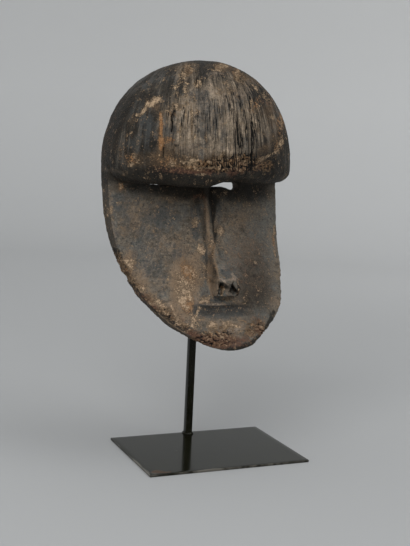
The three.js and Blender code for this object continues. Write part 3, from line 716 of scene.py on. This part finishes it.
def on_wood(marks):
    """The photograph's ovals as ovals on the wood: x, z, half width, half height, turn, strength.

    They are rounded to what can be read off the photograph.
    """
    solid = mask_solid()
    ovals = []
    for across, down, half_width, half_height, turn, strength in marks:
        cos, sin = math.cos(math.radians(turn)) / 2, math.sin(math.radians(turn)) / 2
        steps = ((half_width * cos, -half_width * sin), (half_height * sin, half_height * cos))
        axes = [
            seen_at(solid, across + du, down + dv) - seen_at(solid, across - du, down - dv)
            for du, dv in steps
        ]
        facing, sizes, _ = np.linalg.svd(np.stack(axes, 1)[[0, 2]])
        first = 0 if abs(facing[0, 0]) >= abs(facing[1, 0]) else 1
        (dx, dz), (width, height) = facing[:, first], (sizes[first], sizes[1 - first])
        if dx < 0:
            dx, dz = -dx, -dz
        x, _, z = seen_at(solid, across, down)
        width, height = (round(max(size, SMALLEST_OVAL), 1) for size in (width, height))
        slant = round(math.degrees(math.atan2(dz, dx)))
        ovals.append((round(x), round(z), width, height, slant, strength))
    return ovals


def line_on_wood(pixels):
    """A line in the photograph as a line on the wood, seen from the front."""
    solid = mask_solid()
    places = [seen_at(solid, *pixel) for pixel in pixels]
    return [(round(x, 1), round(z, 1)) for x, _, z in places]


def node_copy(node, name):
    """A new piece with a merged copy of a node's mesh."""
    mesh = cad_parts[node].data.copy()
    mesh.name = name
    mesh.materials.clear()
    shell = bmesh.new()
    shell.from_mesh(mesh)
    bmesh.ops.remove_doubles(shell, verts=shell.verts, dist=1e-6)
    shell.to_mesh(mesh)
    shell.free()
    piece = bpy.data.objects.new(name, mesh)
    bpy.context.scene.collection.objects.link(piece)
    return piece


def settle(piece):
    """Applies the piece's modifiers to its mesh."""
    graph = bpy.context.evaluated_depsgraph_get()
    mesh = bpy.data.meshes.new_from_object(piece.evaluated_get(graph))
    piece.modifiers.clear()
    old = piece.data
    mesh.name = piece.name
    piece.data = mesh
    bpy.data.meshes.remove(old)


def remesh(piece, size):
    voxels = piece.modifiers.new("Voxels", "REMESH")
    voxels.mode = "VOXEL"
    voxels.voxel_size = size
    settle(piece)


def points_of(mesh):
    flat = np.empty(len(mesh.vertices) * 3)
    mesh.vertices.foreach_get("co", flat)
    return flat.reshape(-1, 3) / MM


def normals_of(mesh):
    flat = np.empty(len(mesh.vertices) * 3)
    mesh.vertices.foreach_get("normal", flat)
    return flat.reshape(-1, 3)


def ramp(value, low, high):
    """0 at low, 1 at high and smooth in between."""
    share = np.clip((value - low) / (high - low), 0, 1)
    return share * share * (3 - 2 * share)


def outsideness(at, normal):
    """1 on the outside of the carving, 0 on its rim and in its hollow."""
    outwards = at - OUTSIDE_CENTRE
    x, _, z = at.T
    below = z < BROW_LOW
    sideways = np.clip(x / np.where(in_part(at, NOSE), NOSE_TURN, FACE_TURN), -1, 1)
    facing = (sideways, np.full_like(x, FORWARDS), np.full_like(x, DOWNWARDS))
    outwards[below] = np.stack(facing, 1)[below]
    outwards /= np.linalg.norm(outwards, axis=1)[:, None]
    outside = ramp((outwards * normal).sum(1), 0.0, 0.15)
    outside[in_part(at, NOSE_TIP) | in_part(at, MUZZLE)] = 1
    return outside


class Carving:
    """The outside of the mask, point by point, in millimetres seen from the front."""

    def __init__(self, at, normal):
        self.at = at
        self.x, y, self.z = at.T
        self.outside = outsideness(at, normal)
        angle = np.arctan2(self.x, FIBRE_HEART - y)
        radius = np.hypot(self.x, FIBRE_HEART - y)
        self.fibre_place = np.stack([angle * FIBRE_RADIUS, 0.12 * radius, self.z], 1)

    def noise(self, size, stretch=(1, 1, 1), octaves=3, seed=0.0, place=None):
        """Smooth noise from about -1 to 1."""
        scale = Vector(stretch) / size
        at = self.at if place is None else place
        shift = Vector((seed * 7.3, seed * 3.1, seed * 5.7))
        found = np.zeros(len(at))
        for i in np.nonzero(self.outside > 0)[0]:
            found[i] = noise.fractal(Vector(at[i]) * scale + shift, 0.9, 2.1, octaves)
        return found

    def blob(self, x, z, half_width, half_height, turn):
        """1 in the middle of an oval seen from the front, 0 outside it."""
        angle = math.radians(turn)
        across = (self.x - x) * math.cos(angle) + (self.z - z) * math.sin(angle)
        along = (self.z - z) * math.cos(angle) - (self.x - x) * math.sin(angle)
        far = np.hypot(across / half_width, along / half_height)
        return (1 - ramp(far, 1 - OVAL_FADE, 1 + OVAL_FADE)) * self.outside

    def groove(self, points, half_width):
        """1 on a line seen from the front, 0 at its half width and beyond."""
        nearest = np.full(len(self.at), 1e9)
        for (x0, z0), (x1, z1) in zip(points, points[1:]):
            dx, dz = x1 - x0, z1 - z0
            share = ((self.x - x0) * dx + (self.z - z0) * dz) / (dx * dx + dz * dz)
            share = np.clip(share, 0, 1)
            far = np.hypot(self.x - x0 - share * dx, self.z - z0 - share * dz)
            nearest = np.minimum(nearest, far)
        return np.clip(1 - nearest / half_width, 0, 1) * self.outside


def gathered(carving, ovals):
    """All the ovals together, each (x, z, half width, half height, turn, strength)."""
    left = np.ones(len(carving.at))
    for *oval, strength in ovals:
        left *= 1 - strength * carving.blob(*oval)
    return 1 - left


def cut_cracks(carving):
    """The named cracks, in millimetres of depth."""
    depth = np.zeros(len(carving.at))
    for pixels, half_width, deep in CRACKS:
        groove = carving.groove(line_on_wood(pixels), half_width)
        depth = np.maximum(depth, deep * groove)
    return depth


def eaten_away(carving, where):
    """Worm galleries and crumbled wood, in millimetres of depth."""
    depth = np.zeros(len(carving.at))
    noise.seed_set(GALLERY_SEED)
    for i in np.nonzero(where > 0.02)[0]:
        place = Vector(carving.at[i])
        place += 1.6 * noise.noise_vector(place / 4.0)
        winding = noise.noise(Vector(p / size for p, size in zip(place, GALLERY_SIZE)))
        gallery = 1 - GALLERY_THINNESS * abs(winding)
        crumb = noise.fractal(place / 1.9, 0.6, 2.0, 3)
        depth[i] = EATEN_DEPTH + GALLERY_DEPTH * max(0.0, gallery) + CRUMB_DEPTH * crumb
    return depth * where


def scallops(at, where):
    """Shallow gouge cuts in the hollow, in millimetres of depth."""
    depth = np.zeros(len(at))
    for i in np.nonzero(where)[0]:
        near = noise.voronoi(Vector(at[i] / GOUGE_SIZE))[0][0]
        depth[i] = GOUGE_DEPTH - 1.1 * min(near, 0.65)
    return depth


def shifted(at, middle, reach, shift):
    """Moves the points within reach of a place, most in its middle."""
    far = np.linalg.norm((at - middle) / reach, axis=1)
    return at + np.outer(1 - ramp(far, 0.5, 1.0), shift)


def cut_flat(at, place, facing, reach):
    """Cuts what stands proud of a flat facet within reach of a place."""
    facing = np.array(facing) / np.linalg.norm(facing)
    proud = np.clip((at - place) @ facing, 0, 6)
    near = 1 - ramp(np.linalg.norm(at - place, axis=1), reach - 3, reach)
    return at - np.outer(proud * near, facing)


def sculpt(mesh):
    """Shapes on top of the solid: the slits' lips and the worn tip of the nose."""
    at = points_of(mesh)
    for place, reach, shift in LIPS:
        at = shifted(at, place, reach, shift)
    for facet in FACETS:
        at = cut_flat(at, *facet)
    mesh.vertices.foreach_set("co", (at * MM).ravel())
    mesh.update()


def carve_relief(mesh):
    """Moves the points of the mask's outside and paints its wear as attributes."""
    at = points_of(mesh)
    normal = normals_of(mesh)
    carving = Carving(at, normal)
    hollow = 1 - carving.outside
    forehead = ramp(carving.z, BROW_LOW, BROW_HIGH)
    face = 1 - forehead
    weathered = gathered(carving, on_wood(WEATHERED))
    eaten = gathered(carving, on_wood(EATEN))
    split = gathered(carving, on_wood(SPLIT))
    ragged = carving.noise(5, octaves=4, seed=8)
    bare = gathered(carving, on_wood(BARE)) + 0.45 * ragged
    cracks = cut_cracks(carving)
    broad = SWELL * carving.noise(30, octaves=2, seed=1) + DENTS * carving.noise(8, seed=2)
    fibre_noise = carving.noise(2.4, (1, 1, 0.045), 2, seed=3, place=carving.fibre_place)
    fibres = np.clip(1 - FIBRE_THINNESS * np.abs(fibre_noise), 0, 1)
    split_noise = carving.noise(4.5, (1, 1, 0.04), 2, seed=6, place=carving.fibre_place)
    splits = np.clip(1 - SPLIT_THINNESS * np.abs(split_noise), 0, 1) * split
    tooled = carving.noise(4, (0.7, 1, 1.2), 3, seed=4) * face
    crumbs = carving.noise(2.6, octaves=3, seed=5)
    out = broad + TOOL_MARKS * tooled + CRUMBS * crumbs
    upright = ramp(-normal[:, 1], 0.3, 0.8)
    middle = in_part(at, NOSE_AND_LIPS)
    # Where the face turns away to its sides; these side walls are painted darker as shade
    side = (1 - ramp(-normal[:, 1], 0.2, 0.62)) * face * carving.outside * ~middle
    out -= fibres * forehead * (FIBRE_DEPTH + WEATHERED_DEPTH * weathered * upright)
    out -= ramp(bare, 0.4, 0.6) * (FLAKE_DEPTH + 0.2 * crumbs)
    crumbled = eaten_away(carving, eaten)
    # Painted shade: a dark line along the lower rim of the face, where its edge turns under
    rim = ramp(carving.groove(line_on_wood(RIM_SHADE), RIM_HALF_WIDTH), 0.05, 0.7)
    out -= np.maximum(cracks, np.maximum(SPLIT_DEPTH * splits * upright, crumbled))
    moved = out * carving.outside - scallops(at, hollow > 0.5)
    at = at + normal * moved[:, None]
    mesh.vertices.foreach_set("co", (at * MM).ravel())
    painted = {
        "tan": bare,
        "orange": gathered(carving, on_wood(ORANGE)) + 0.3 * ragged,
        "red": gathered(carving, on_wood(RED)) + 0.3 * ragged,
        "brown": gathered(carving, on_wood(BROWN)),
        # pale also carries painted highlights on the edges of the nose tip and the upper lip
        "pale": gathered(carving, on_wood(PALE_AND_HIGHLIGHTS)),
        "fibre": weathered,
        "blue": gathered(carving, on_wood(BLUE)),
        # dark carries darker wood and painted shade under the brow, by the nose, in the nostrils
        # and mouth and along the rim
        "dark": np.maximum(gathered(carving, on_wood(DARK_AND_SHADE) + SHADE), rim),
        "eaten": eaten,
        "crack": np.clip(cracks / 2.0, 0, 1),
        "split": split * upright,
        "grain": fibres,
        "hollow": hollow,
        "forehead": forehead,
        "crumbled": np.clip(crumbled, 0, 3),
        # side carries painted shade on the side walls; the arris line is worn wood and a painted
        # highlight
        "side": side,
        "arris_wear_and_highlight": ramp(side, 0.02, 0.3) * (1 - ramp(side, 0.4, 0.8)),
    }
    places = mesh.attributes.new("fibre_place", "FLOAT_VECTOR", "POINT")
    places.data.foreach_set("vector", carving.fibre_place.astype(np.float32).ravel())
    for name, value in painted.items():
        layer = mesh.attributes.new(name, "FLOAT", "POINT")
        layer.data.foreach_set("value", value.astype(np.float32))


def group_where(piece, name, where):
    """Puts the points that are wanted in a vertex group."""
    group = piece.vertex_groups.new(name=name)
    for i in np.nonzero(where)[0]:
        group.add([int(i)], 1.0, "REPLACE")


def outside_points(piece):
    return outsideness(points_of(piece.data), normals_of(piece.data)) > 0.5


def broad_points(piece):
    """The large plain surfaces, away from the nose, mouth, slits and rim."""
    at = points_of(piece.data)
    cheeks = in_part(at, CHEEKS) & (np.abs(at[:, 0]) > CHEEK_INNER)
    return in_part(at, CROWN) | cheeks | in_part(at, CHIN)


def fine_points(piece):
    """Where the wear is finest: splits, worm-eaten wood, flakes and the tip of the nose."""
    carving = Carving(points_of(piece.data), normals_of(piece.data))
    wear = sum(gathered(carving, on_wood(marks)) for marks in (EATEN, SPLIT, BARE))
    return (carving.outside > 0.5) & ((wear > 0.5) | in_part(carving.at, FINE_NOSE))


def smooth(piece, times, group=None):
    rub = piece.modifiers.new("Rub", "SMOOTH")
    rub.factor = 0.5
    rub.iterations = times
    if group:
        rub.vertex_group = group


def finer(piece, where):
    """Cuts each face whose points are all wanted into four."""
    shell = bmesh.new()
    shell.from_mesh(piece.data)
    shell.faces.ensure_lookup_table()
    faces = [face for face in shell.faces if all(where[v.index] for v in face.verts)]
    edges = list(dict.fromkeys(edge for face in faces for edge in face.edges))
    bmesh.ops.subdivide_edges(shell, edges=edges, cuts=1, use_grid_fill=True)
    shell.to_mesh(piece.data)
    shell.free()


def carved_mask(settings):
    """The mask: remeshed finely, rubbed smooth, sculpted, thinned in its hollow and carved."""
    piece = node_copy("mask", "carved_mask")
    remesh(piece, settings.voxel)
    group_where(piece, "broad", broad_points(piece))
    group_where(piece, "mouth", in_part(points_of(piece.data), MOUTH))
    smooth(piece, settings.smoothing, "broad")
    smooth(piece, settings.smoothing // 2, "mouth")
    smooth(piece, 2)
    settle(piece)
    piece.vertex_groups.clear()
    sculpt(piece.data)
    hollow = ~outside_points(piece)
    group_where(piece, "hollow", hollow)
    thin = piece.modifiers.new("Fewer faces in the hollow", "DECIMATE")
    thin.ratio = 1 - hollow.mean() * (1 - settings.hollow_share)
    thin.vertex_group = "hollow"
    settle(piece)
    piece.vertex_groups.clear()
    finer(piece, fine_points(piece))
    carve_relief(piece.data)
    piece.data.shade_smooth()
    return piece


def wood_finish(settings):
    """Old smoked wood, with the wear that is painted on the mask's points."""
    wood = Finish("Old carved wood")
    tan, orange, red = (wood.attribute(n) for n in ("tan", "orange", "red"))
    brown, pale, crumbled = (wood.attribute(n) for n in ("brown", "pale", "crumbled"))
    fibre, blue, dark = (wood.attribute(n) for n in ("fibre", "blue", "dark"))
    crack, eaten, grain = (wood.attribute(n) for n in ("crack", "eaten", "grain"))
    split, forehead, hollow = (wood.attribute(n) for n in ("split", "forehead", "hollow"))
    side, arris_wear_and_highlight = wood.attribute("side"), wood.attribute("arris_wear_and_highlight")
    wooden = wood.node(
        "ShaderNodeAttribute", {"attribute_name": "fibre_place"}, output="Vector"
    )

    # Noises, by their size in millimetres; lines, bands and long ones follow the fibres
    lines = wood.noise(1.0, 5, 0.7, (1, 1, 0.05), 1, wooden) - 0.5
    bands = wood.noise(3.4, 5, 0.65, (1, 1, 0.1), 2, wooden) - 0.5
    fine = wood.noise(1.1, 3, 0.75, seed=3) - 0.5
    speck = wood.noise(2.4, 5, 0.75, seed=4) - 0.5
    ragged = wood.noise(4.5, 7, 0.75, seed=5) - 0.5
    mottle = wood.noise(8, 9, 0.75, seed=6) - 0.5
    hue = wood.noise(24, 8, 0.66, seed=7) - 0.5
    brushed = wood.noise(3, 5, 0.7, (0.55, 1, 1.2), seed=8) - 0.5
    long = wood.noise(2.6, 3, 0.55, (1, 1, 0.035), 9, wooden) - 0.5

    def over(base, where, low, high, colour, share):
        """Lays a colour over the base, none at low and its full share at high."""
        return wood.mix(where.between(low, high) * share, base, colour)

    # The plain face and forehead
    tone = mottle * 0.9 + brushed * 0.7
    face = wood.mix(tone.between(-0.13, 0.13), settings.face_wood * 0.7, settings.face_wood * 1.28)
    face = over(face, hue + mottle * 0.4, -0.04, 0.08, settings.face_grey * 1.1, 0.7)
    face = over(face, hue * 1.2 - speck * 0.5, -0.06, -0.16, settings.face_warm, 0.45)
    face = over(face, fine * 0.7 + speck, 0.07, 0.22, settings.face_wood * 2.0, 0.5)
    face = over(face, fine * 0.7 + speck, -0.07, -0.2, settings.dark_wood, 0.6)
    tone = mottle + bands * 0.8
    dome = wood.mix(tone.between(-0.1, 0.16), settings.dark_wood * 0.7, settings.dark_wood * 1.8)
    dome = over(dome, hue + bands * 0.6, 0.0, 0.12, settings.blue_grey, 0.5)
    dome = over(dome, fine * 0.5 + speck + lines * 0.5, 0.11, 0.26, settings.face_wood * 1.2, 0.45)
    base = wood.mix(forehead, face, dome)

    # Stains, bare fibres, bloom, pale wear with painted highlights, painted shade on the side
    # walls, and dark wood with painted shade
    stain = wood.mix(forehead, settings.face_warm, settings.rust)
    base = over(base, brown + mottle * 2.0 + fine * 0.8, 0.1, 0.95, stain, 0.8)
    weather = fibre * 0.96 + lines * 1.45 + bands * 1.6 + hue * 0.9
    base = over(base, weather, 0.1, 0.55, settings.fibre * 0.5, 0.8)
    base = over(base, weather + speck * 0.8, 0.42, 0.9, settings.fibre, 0.85)
    base = over(base, weather + speck * 1.6, 0.78, 1.2, settings.fibre * 1.5, 0.65)
    base = over(base, blue + mottle * 2.2 + bands * 1.8 + hue, 0.15, 0.8, settings.blue_grey, 0.8)
    # Pale rubbed wood; its stronger layer carries the painted highlights on the nose tip's and
    # upper lip's edges
    base = over(base, pale + speck * 1.6 + mottle, 0.25, 0.7, settings.pale, 0.8)
    base = over(base, pale + speck * 1.4 + fine, 0.7, 1.0, settings.pale * 1.6, 0.8)
    # Painted shade: the face's side walls, turned away from the front, are darkened
    base = over(base, side + mottle, 0.3, 0.8, settings.dark_wood * 1.3, 0.75)
    # A pale line on the arris between the front and the sides: worn wood and a painted highlight
    base = over(base, arris_wear_and_highlight + mottle * 1.5 + speck, 0.45, 0.9, settings.pale, 0.6)
    # Darker wood, and painted shade under the brow, beside the nose ridge, in the nostrils and
    # mouth, and along the rim
    base = over(base, dark + mottle * 1.2 + speck, 0.1, 0.9, settings.dark_wood * 0.45, 0.9)

    # Flakes down to fresh wood
    flaking = ragged * 1.6 + fine * 2.4 + speck * 1.4
    base = over(base, red + flaking, 0.3, 0.6, settings.red, 0.8)
    base = over(base, orange.greatest(tan) + flaking, 0.24, 0.5, settings.rust, 0.75)
    base = over(base, orange + flaking + lines * 0.6, 0.42, 0.75, settings.orange, 0.8)
    bare = (tan + flaking).between(0.4, 0.6)
    flake = wood.mix(forehead, settings.pink, settings.tan)
    base = wood.mix(bare * 0.85, base, wood.scaled(flake, 0.7))
    base = over(base, tan + flaking + speck * 1.4, 0.7, 1.0, wood.scaled(flake, 1.25), 0.85)

    # Worm-eaten wood: its crests, a red film and its pits
    crest = (0.8 - crumbled * 0.6 + ragged * 1.8 + speck * 1.2) * eaten.between(0.2, 0.8)
    base = over(base, crest, 0.15, 0.5, settings.rust, 0.8)
    base = over(base, crest + fine, 0.55, 0.85, settings.orange * 0.75, 0.8)
    base = over(base, crest + speck * 2.2 + hue, 0.66, 0.92, flake, 0.85)
    base = over(base, red + mottle * 2.0 - speck * 1.5 + fine, 0.45, 0.85, settings.red * 0.8, 0.5)
    pit = (crumbled * 0.55 + speck + fine * 0.6).between(0.5, 0.8)
    base = wood.mix(pit * eaten.between(0.05, 0.35), base, settings.crack)

    # Thin splits, open grain and cracks
    thin = (lines + speck * 0.5).between(-0.1, -0.24) * (0.2 + 0.8 * fibre) * forehead
    base = wood.mix(thin * 0.85, base, settings.crack)
    base = wood.mix((grain - 0.4) * (0.2 + 0.7 * fibre) * forehead, base, settings.crack)
    fissure = 1 - long.size() * 26 - speck * 0.8 + bands * 1.2
    fissured = fissure.between(0.1, 0.7) * (split + mottle * 2).between(0.15, 0.5)
    base = wood.mix(fissured, base, settings.crack)
    # Crack colour, also painted shade near black in the corner beside the nose ridge
    base = wood.mix(crack.between(0.35, 0.85), base, settings.crack)
    grit = 1.0 + fine * 2.0 + speck * 1.4
    base = wood.scaled(base, grit)

    # The hollow
    tone = mottle + bands
    inside = wood.mix(tone.between(-0.15, 0.15), settings.inside * 0.7, settings.inside * 1.3)
    base = wood.mix(hollow, base, inside)

    # Fine relief and roughness
    height = lines * fibre.between(0, 0.6) * 1.2 + fine * 0.7 + speck + ragged * 0.8 - bare * 0.2
    normal = wood.bump(height, 1.0)
    rough = 0.7 + 0.15 * fibre - 0.08 * dark + 0.4 * mottle
    return wood.finished(
        Base_Color=base, Roughness=rough, Normal=normal, **{"Specular IOR Level": 0.2}
    )


# ---------------------------------------------------------------- stand

# The steel block that is cut finely enough to carry painted marks, and its cuts along each edge
MARKED_BLOCK = "base_plate"
MARKED_CUTS = 32
# Distances from the plate's middle over which the bright band at its left and front edges sets in:
# worn steel and a painted highlight along these edges
LEFT_WEAR_AND_HIGHLIGHT = (69.2, 69.8)
FRONT_WEAR_AND_HIGHLIGHT = (49.2, 49.8)
# The marks painted on the plate stay below this height
MARKS_BELOW = 5
# The weld's section: distances out from the post and up from its foot
BEAD_SECTION = ((-0.4, -0.25), (1.3, -0.25), (1.2, 0.4), (0.6, 1.0), (-0.4, 1.3))
BEAD_STEPS = 64


def rounded_copy(node, name, edge):
    """A node's sharp block with its edges taken off."""
    piece = node_copy(node, name)
    block = bmesh.new()
    block.from_mesh(piece.data)
    bmesh.ops.dissolve_limit(
        block, angle_limit=math.radians(1), verts=block.verts, edges=block.edges
    )
    if node == MARKED_BLOCK:
        long = [side for side in block.edges if side.calc_length() > 50 * MM]
        bmesh.ops.subdivide_edges(block, edges=long, cuts=MARKED_CUTS, use_grid_fill=True)
    bmesh.ops.bevel(
        block,
        geom=[side for side in block.edges if side.calc_face_angle() > 0.5],
        offset=edge,
        segments=3,
        profile=0.5,
        affect="EDGES",
        material=-1,
    )
    block.to_mesh(piece.data)
    block.free()
    piece.data.shade_smooth()
    return piece


def weld_bead(piece):
    """A rough bead of weld round the foot of the post, just above the plate."""
    at = points_of(piece.data)
    foot = at[:, 2].min()
    middle, half = (at.max(0) + at.min(0)) / 2, (at[:, 0].max() - at[:, 0].min()) / 2
    bead = bmesh.new()
    bead.from_mesh(piece.data)
    rings = []
    for i in range(BEAD_STEPS):
        angle = math.tau * i / BEAD_STEPS
        out = Vector((math.cos(angle), math.sin(angle), 0))
        reach = half * min(1 / max(abs(out.x), abs(out.y)), 1.25)
        bump = 1 + 0.25 * math.sin(1.1 * i) + 0.15 * math.sin(2.7 * i)
        ring = []
        for across, up in BEAD_SECTION:
            place = Vector((middle[0], middle[1], foot + (up * bump if up > 0 else up)))
            ring.append(bead.verts.new((place + out * (reach + across * bump)) * MM))
        rings.append(ring)
    for one, two in zip(rings, rings[1:] + rings[:1]):
        for k in range(len(BEAD_SECTION)):
            after = (k + 1) % len(BEAD_SECTION)
            bead.faces.new((one[k], two[k], two[after], one[after]))
    bmesh.ops.recalc_face_normals(bead, faces=bead.faces)
    bead.to_mesh(piece.data)
    bead.free()
    piece.data.shade_smooth()


def steel_finish(settings, name, sheen):
    """Waxed black steel, with rust and scratches where the piece carries them, and a bright band
    along the plate's left and front edges: worn steel and a painted highlight.
    """
    steel = Finish(name)
    cloud = steel.noise(14, 3, 0.55, seed=1)
    smear = steel.noise(5, 3, 0.6, (1, 0.3, 1), seed=2)
    fine = steel.noise(0.7, 2, 0.6, seed=3)
    rust, scratch = steel.attribute("rust"), steel.attribute("scratch")
    base = steel.mix(cloud.between(0.35, 0.7), settings.steel * 0.7, settings.steel * 1.3)
    rusty = (rust + (fine - 0.5) * 1.4 + (cloud - 0.5)).between(0.4, 0.7)
    base = steel.mix(rusty * 0.8, base, settings.rust)
    # The bright band along the left and front edges is worn steel and a painted highlight on these
    # edges
    left, front = (steel.along(axis) * (-1 / MM) for axis in "XY")
    edge = left.between(*LEFT_WEAR_AND_HIGHLIGHT).greatest(front.between(*FRONT_WEAR_AND_HIGHLIGHT))
    worn = edge * (0.5 + smear - fine)
    bare = (scratch * 0.7 + worn + (fine - 0.5) * 1.2).between(0.35, 0.8)
    base = steel.mix(bare * 0.7, base, settings.bare_steel)
    rough = 0.06 + 0.09 * cloud + 0.05 * smear + 0.35 * rusty
    normal = steel.bump(smear * 0.6 + fine * 0.2, 0.02)
    level = {"Specular IOR Level": sheen}
    return steel.finished(Base_Color=base, Roughness=rough, Normal=normal, **level)


def paint_plate(mesh):
    """Marks the plate's rust patch and its bare scratches."""
    at = points_of(mesh)
    for name, marks in (("rust", RUST_PATCHES), ("scratch", SCRATCHES)):
        value = np.zeros(len(at))
        for x, y, half_width, half_depth in marks:
            far = np.hypot((at[:, 0] - x) / half_width, (at[:, 1] - y) / half_depth)
            value = np.maximum(value, (1 - ramp(far, 0.4, 1.4)) * (at[:, 2] < MARKS_BELOW))
        layer = mesh.attributes.new(name, "FLOAT", "POINT")
        layer.data.foreach_set("value", value.astype(np.float32))


# ---------------------------------------------------------------- studio


def studio_cove(settings):
    """A round pale floor that curves up into a wall, so that no view shows its edge."""
    flat, curve, top, curve_steps, round_steps = 1.5, 0.7, 2.6, 12, 96
    cove = bmesh.new()
    corners = [cove.verts.new((0, 0, 0)), cove.verts.new((flat, 0, 0))]
    for i in range(1, curve_steps + 1):
        angle = math.pi / 2 * i / curve_steps
        across = flat + curve * math.sin(angle)
        corners.append(cove.verts.new((across, 0, curve - curve * math.cos(angle))))
    corners.append(cove.verts.new((flat + curve, 0, top)))
    edges = [cove.edges.new(pair) for pair in zip(corners, corners[1:])]
    bmesh.ops.spin(
        cove,
        geom=corners + edges,
        cent=(0, 0, 0),
        axis=(0, 0, 1),
        angle=math.tau,
        steps=round_steps,
        use_merge=True,
    )
    bmesh.ops.remove_doubles(cove, verts=cove.verts, dist=1e-5)
    bmesh.ops.recalc_face_normals(cove, faces=cove.faces)
    bmesh.ops.reverse_faces(cove, faces=cove.faces)
    mesh = bpy.data.meshes.new("studio_cove")
    cove.to_mesh(mesh)
    cove.free()
    mesh.shade_smooth()
    floor = bpy.data.objects.new("studio_cove", mesh)
    bpy.context.scene.collection.objects.link(floor)
    paper = Finish("Pale paper")
    far = paper.node(
        "ShaderNodeVectorMath", {"operation": "LENGTH"}, {0: paper.place}, output="Value"
    )
    # Painted light: the paper is darker in the middle of the floor and lighter further out and up
    # the wall
    fade = far * 0.4 + paper.along("Z") * 0.3
    colour = paper.mix(fade, settings.floor, settings.backdrop)
    mesh.materials.append(paper.finished(Base_Color=colour, Roughness=0.85))
    return floor


def area_light(name, place, target, size, power):
    """A round soft light that faces its target and isn't seen itself."""
    light = bpy.data.lights.new(name, "AREA")
    light.shape = "DISK"
    light.size = size
    light.energy = power
    lamp = bpy.data.objects.new(name, light)
    lamp.location = place
    lamp.visible_camera = False
    lamp.rotation_euler = (Vector(target) - Vector(place)).to_track_quat("-Z", "Y").to_euler()
    bpy.context.scene.collection.objects.link(lamp)


def photo_camera():
    """The camera at the photograph's place."""
    turn = Matrix((CAMERA_RIGHT, CAMERA_UP, -CAMERA_FORWARD)).transposed()
    data = bpy.data.cameras.new("Photo camera")
    data.lens = CAMERA_LENS
    data.sensor_width = CAMERA_SENSOR
    data.clip_start = 0.05
    camera = bpy.data.objects.new("Photo camera", data)
    camera.matrix_world = Matrix.Translation(CAMERA_PLACE) @ turn.to_4x4()
    bpy.context.scene.collection.objects.link(camera)
    bpy.context.scene.camera = camera


# ---------------------------------------------------------------- operators and panel


class MASK_OT_carve(bpy.types.Operator):
    """Build the carved wooden mask over its solid"""

    bl_idname = "mask.carve"
    bl_label = "Carved mask"

    def execute(self, context):
        settings = context.scene.mask_settings
        piece = carved_mask(settings)
        piece.data.materials.append(wood_finish(settings))
        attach(piece, "root")
        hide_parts("mask")
        return {"FINISHED"}


class MASK_OT_stand(bpy.types.Operator):
    """Build the steel post and plate over their solids"""

    bl_idname = "mask.stand"
    bl_label = "Steel stand"

    def execute(self, context):
        settings = context.scene.stand_settings
        for node, name, title, sheen in (
            ("post", "steel_post", "Black steel bar", 0.12),
            ("base_plate", "steel_plate", "Waxed black plate", 0.17),
        ):
            piece = rounded_copy(node, name, settings.edge)
            if node == "post":
                weld_bead(piece)
            paint_plate(piece.data)
            piece.data.materials.append(steel_finish(settings, title, sheen))
            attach(piece, "root")
            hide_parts(node)
        return {"FINISHED"}


class MASK_OT_studio(bpy.types.Operator):
    """Build the pale floor, the soft lights and the camera"""

    bl_idname = "mask.studio"
    bl_label = "Studio"

    def execute(self, context):
        settings = context.scene.studio_settings
        studio_cove(settings)
        area_light("Main light", (-1.05, -1.1, 1.25), (0, 0, 0.2), 1.7, settings.key_power)
        area_light("Side light", (1.1, -0.6, 1.4), (0, 0, 0.2), 1.1, settings.fill_power)
        area_light("Top light", (0.1, 0.2, 2.2), (0, 0, 0), 1.6, settings.top_power)
        area_light("Wall light", (1.0, 0.7, 0.9), (1.5, 2.0, 0.2), 0.8, settings.wall_power)
        world = bpy.data.worlds.new("Studio air")
        world.use_nodes = True
        air = world.node_tree.nodes["Background"].inputs
        air["Color"].default_value = (0.9, 0.95, 1, 1)
        air["Strength"].default_value = settings.air
        context.scene.world = world
        context.scene.view_settings.view_transform = "Standard"
        photo_camera()
        return {"FINISHED"}


class MASK_PT_sidebar(bpy.types.Panel):
    """Lists the pieces and their settings"""

    bl_idname = "MASK_PT_sidebar"
    bl_label = "Carved mask on a stand"
    bl_space_type = "VIEW_3D"
    bl_region_type = "UI"
    bl_category = "Mask"

    def draw(self, context):
        scene = context.scene
        parts = (
            (scene.mask_settings, MASK_OT_carve),
            (scene.stand_settings, MASK_OT_stand),
            (scene.studio_settings, MASK_OT_studio),
        )
        for settings, operator in parts:
            column = self.layout.column()
            column.operator(operator.bl_idname)
            for key in settings.__annotations__:
                column.prop(settings, key)


SETTINGS = {
    "mask_settings": MaskSettings,
    "stand_settings": StandSettings,
    "studio_settings": StudioSettings,
}
OPERATORS = (MASK_OT_carve, MASK_OT_stand, MASK_OT_studio)


def register():
    for name, group in SETTINGS.items():
        bpy.utils.register_class(group)
        setattr(bpy.types.Scene, name, bpy.props.PointerProperty(type=group))
    for operator in OPERATORS:
        bpy.utils.register_class(operator)
    bpy.utils.register_class(MASK_PT_sidebar)


def unregister():
    bpy.utils.unregister_class(MASK_PT_sidebar)
    for operator in reversed(OPERATORS):
        bpy.utils.unregister_class(operator)
    for name, group in SETTINGS.items():
        delattr(bpy.types.Scene, name)
        bpy.utils.unregister_class(group)


def main():
    register()
    bpy.ops.mask.carve()
    bpy.ops.mask.stand()
    bpy.ops.mask.studio()


if __name__ == "__main__":
    main()
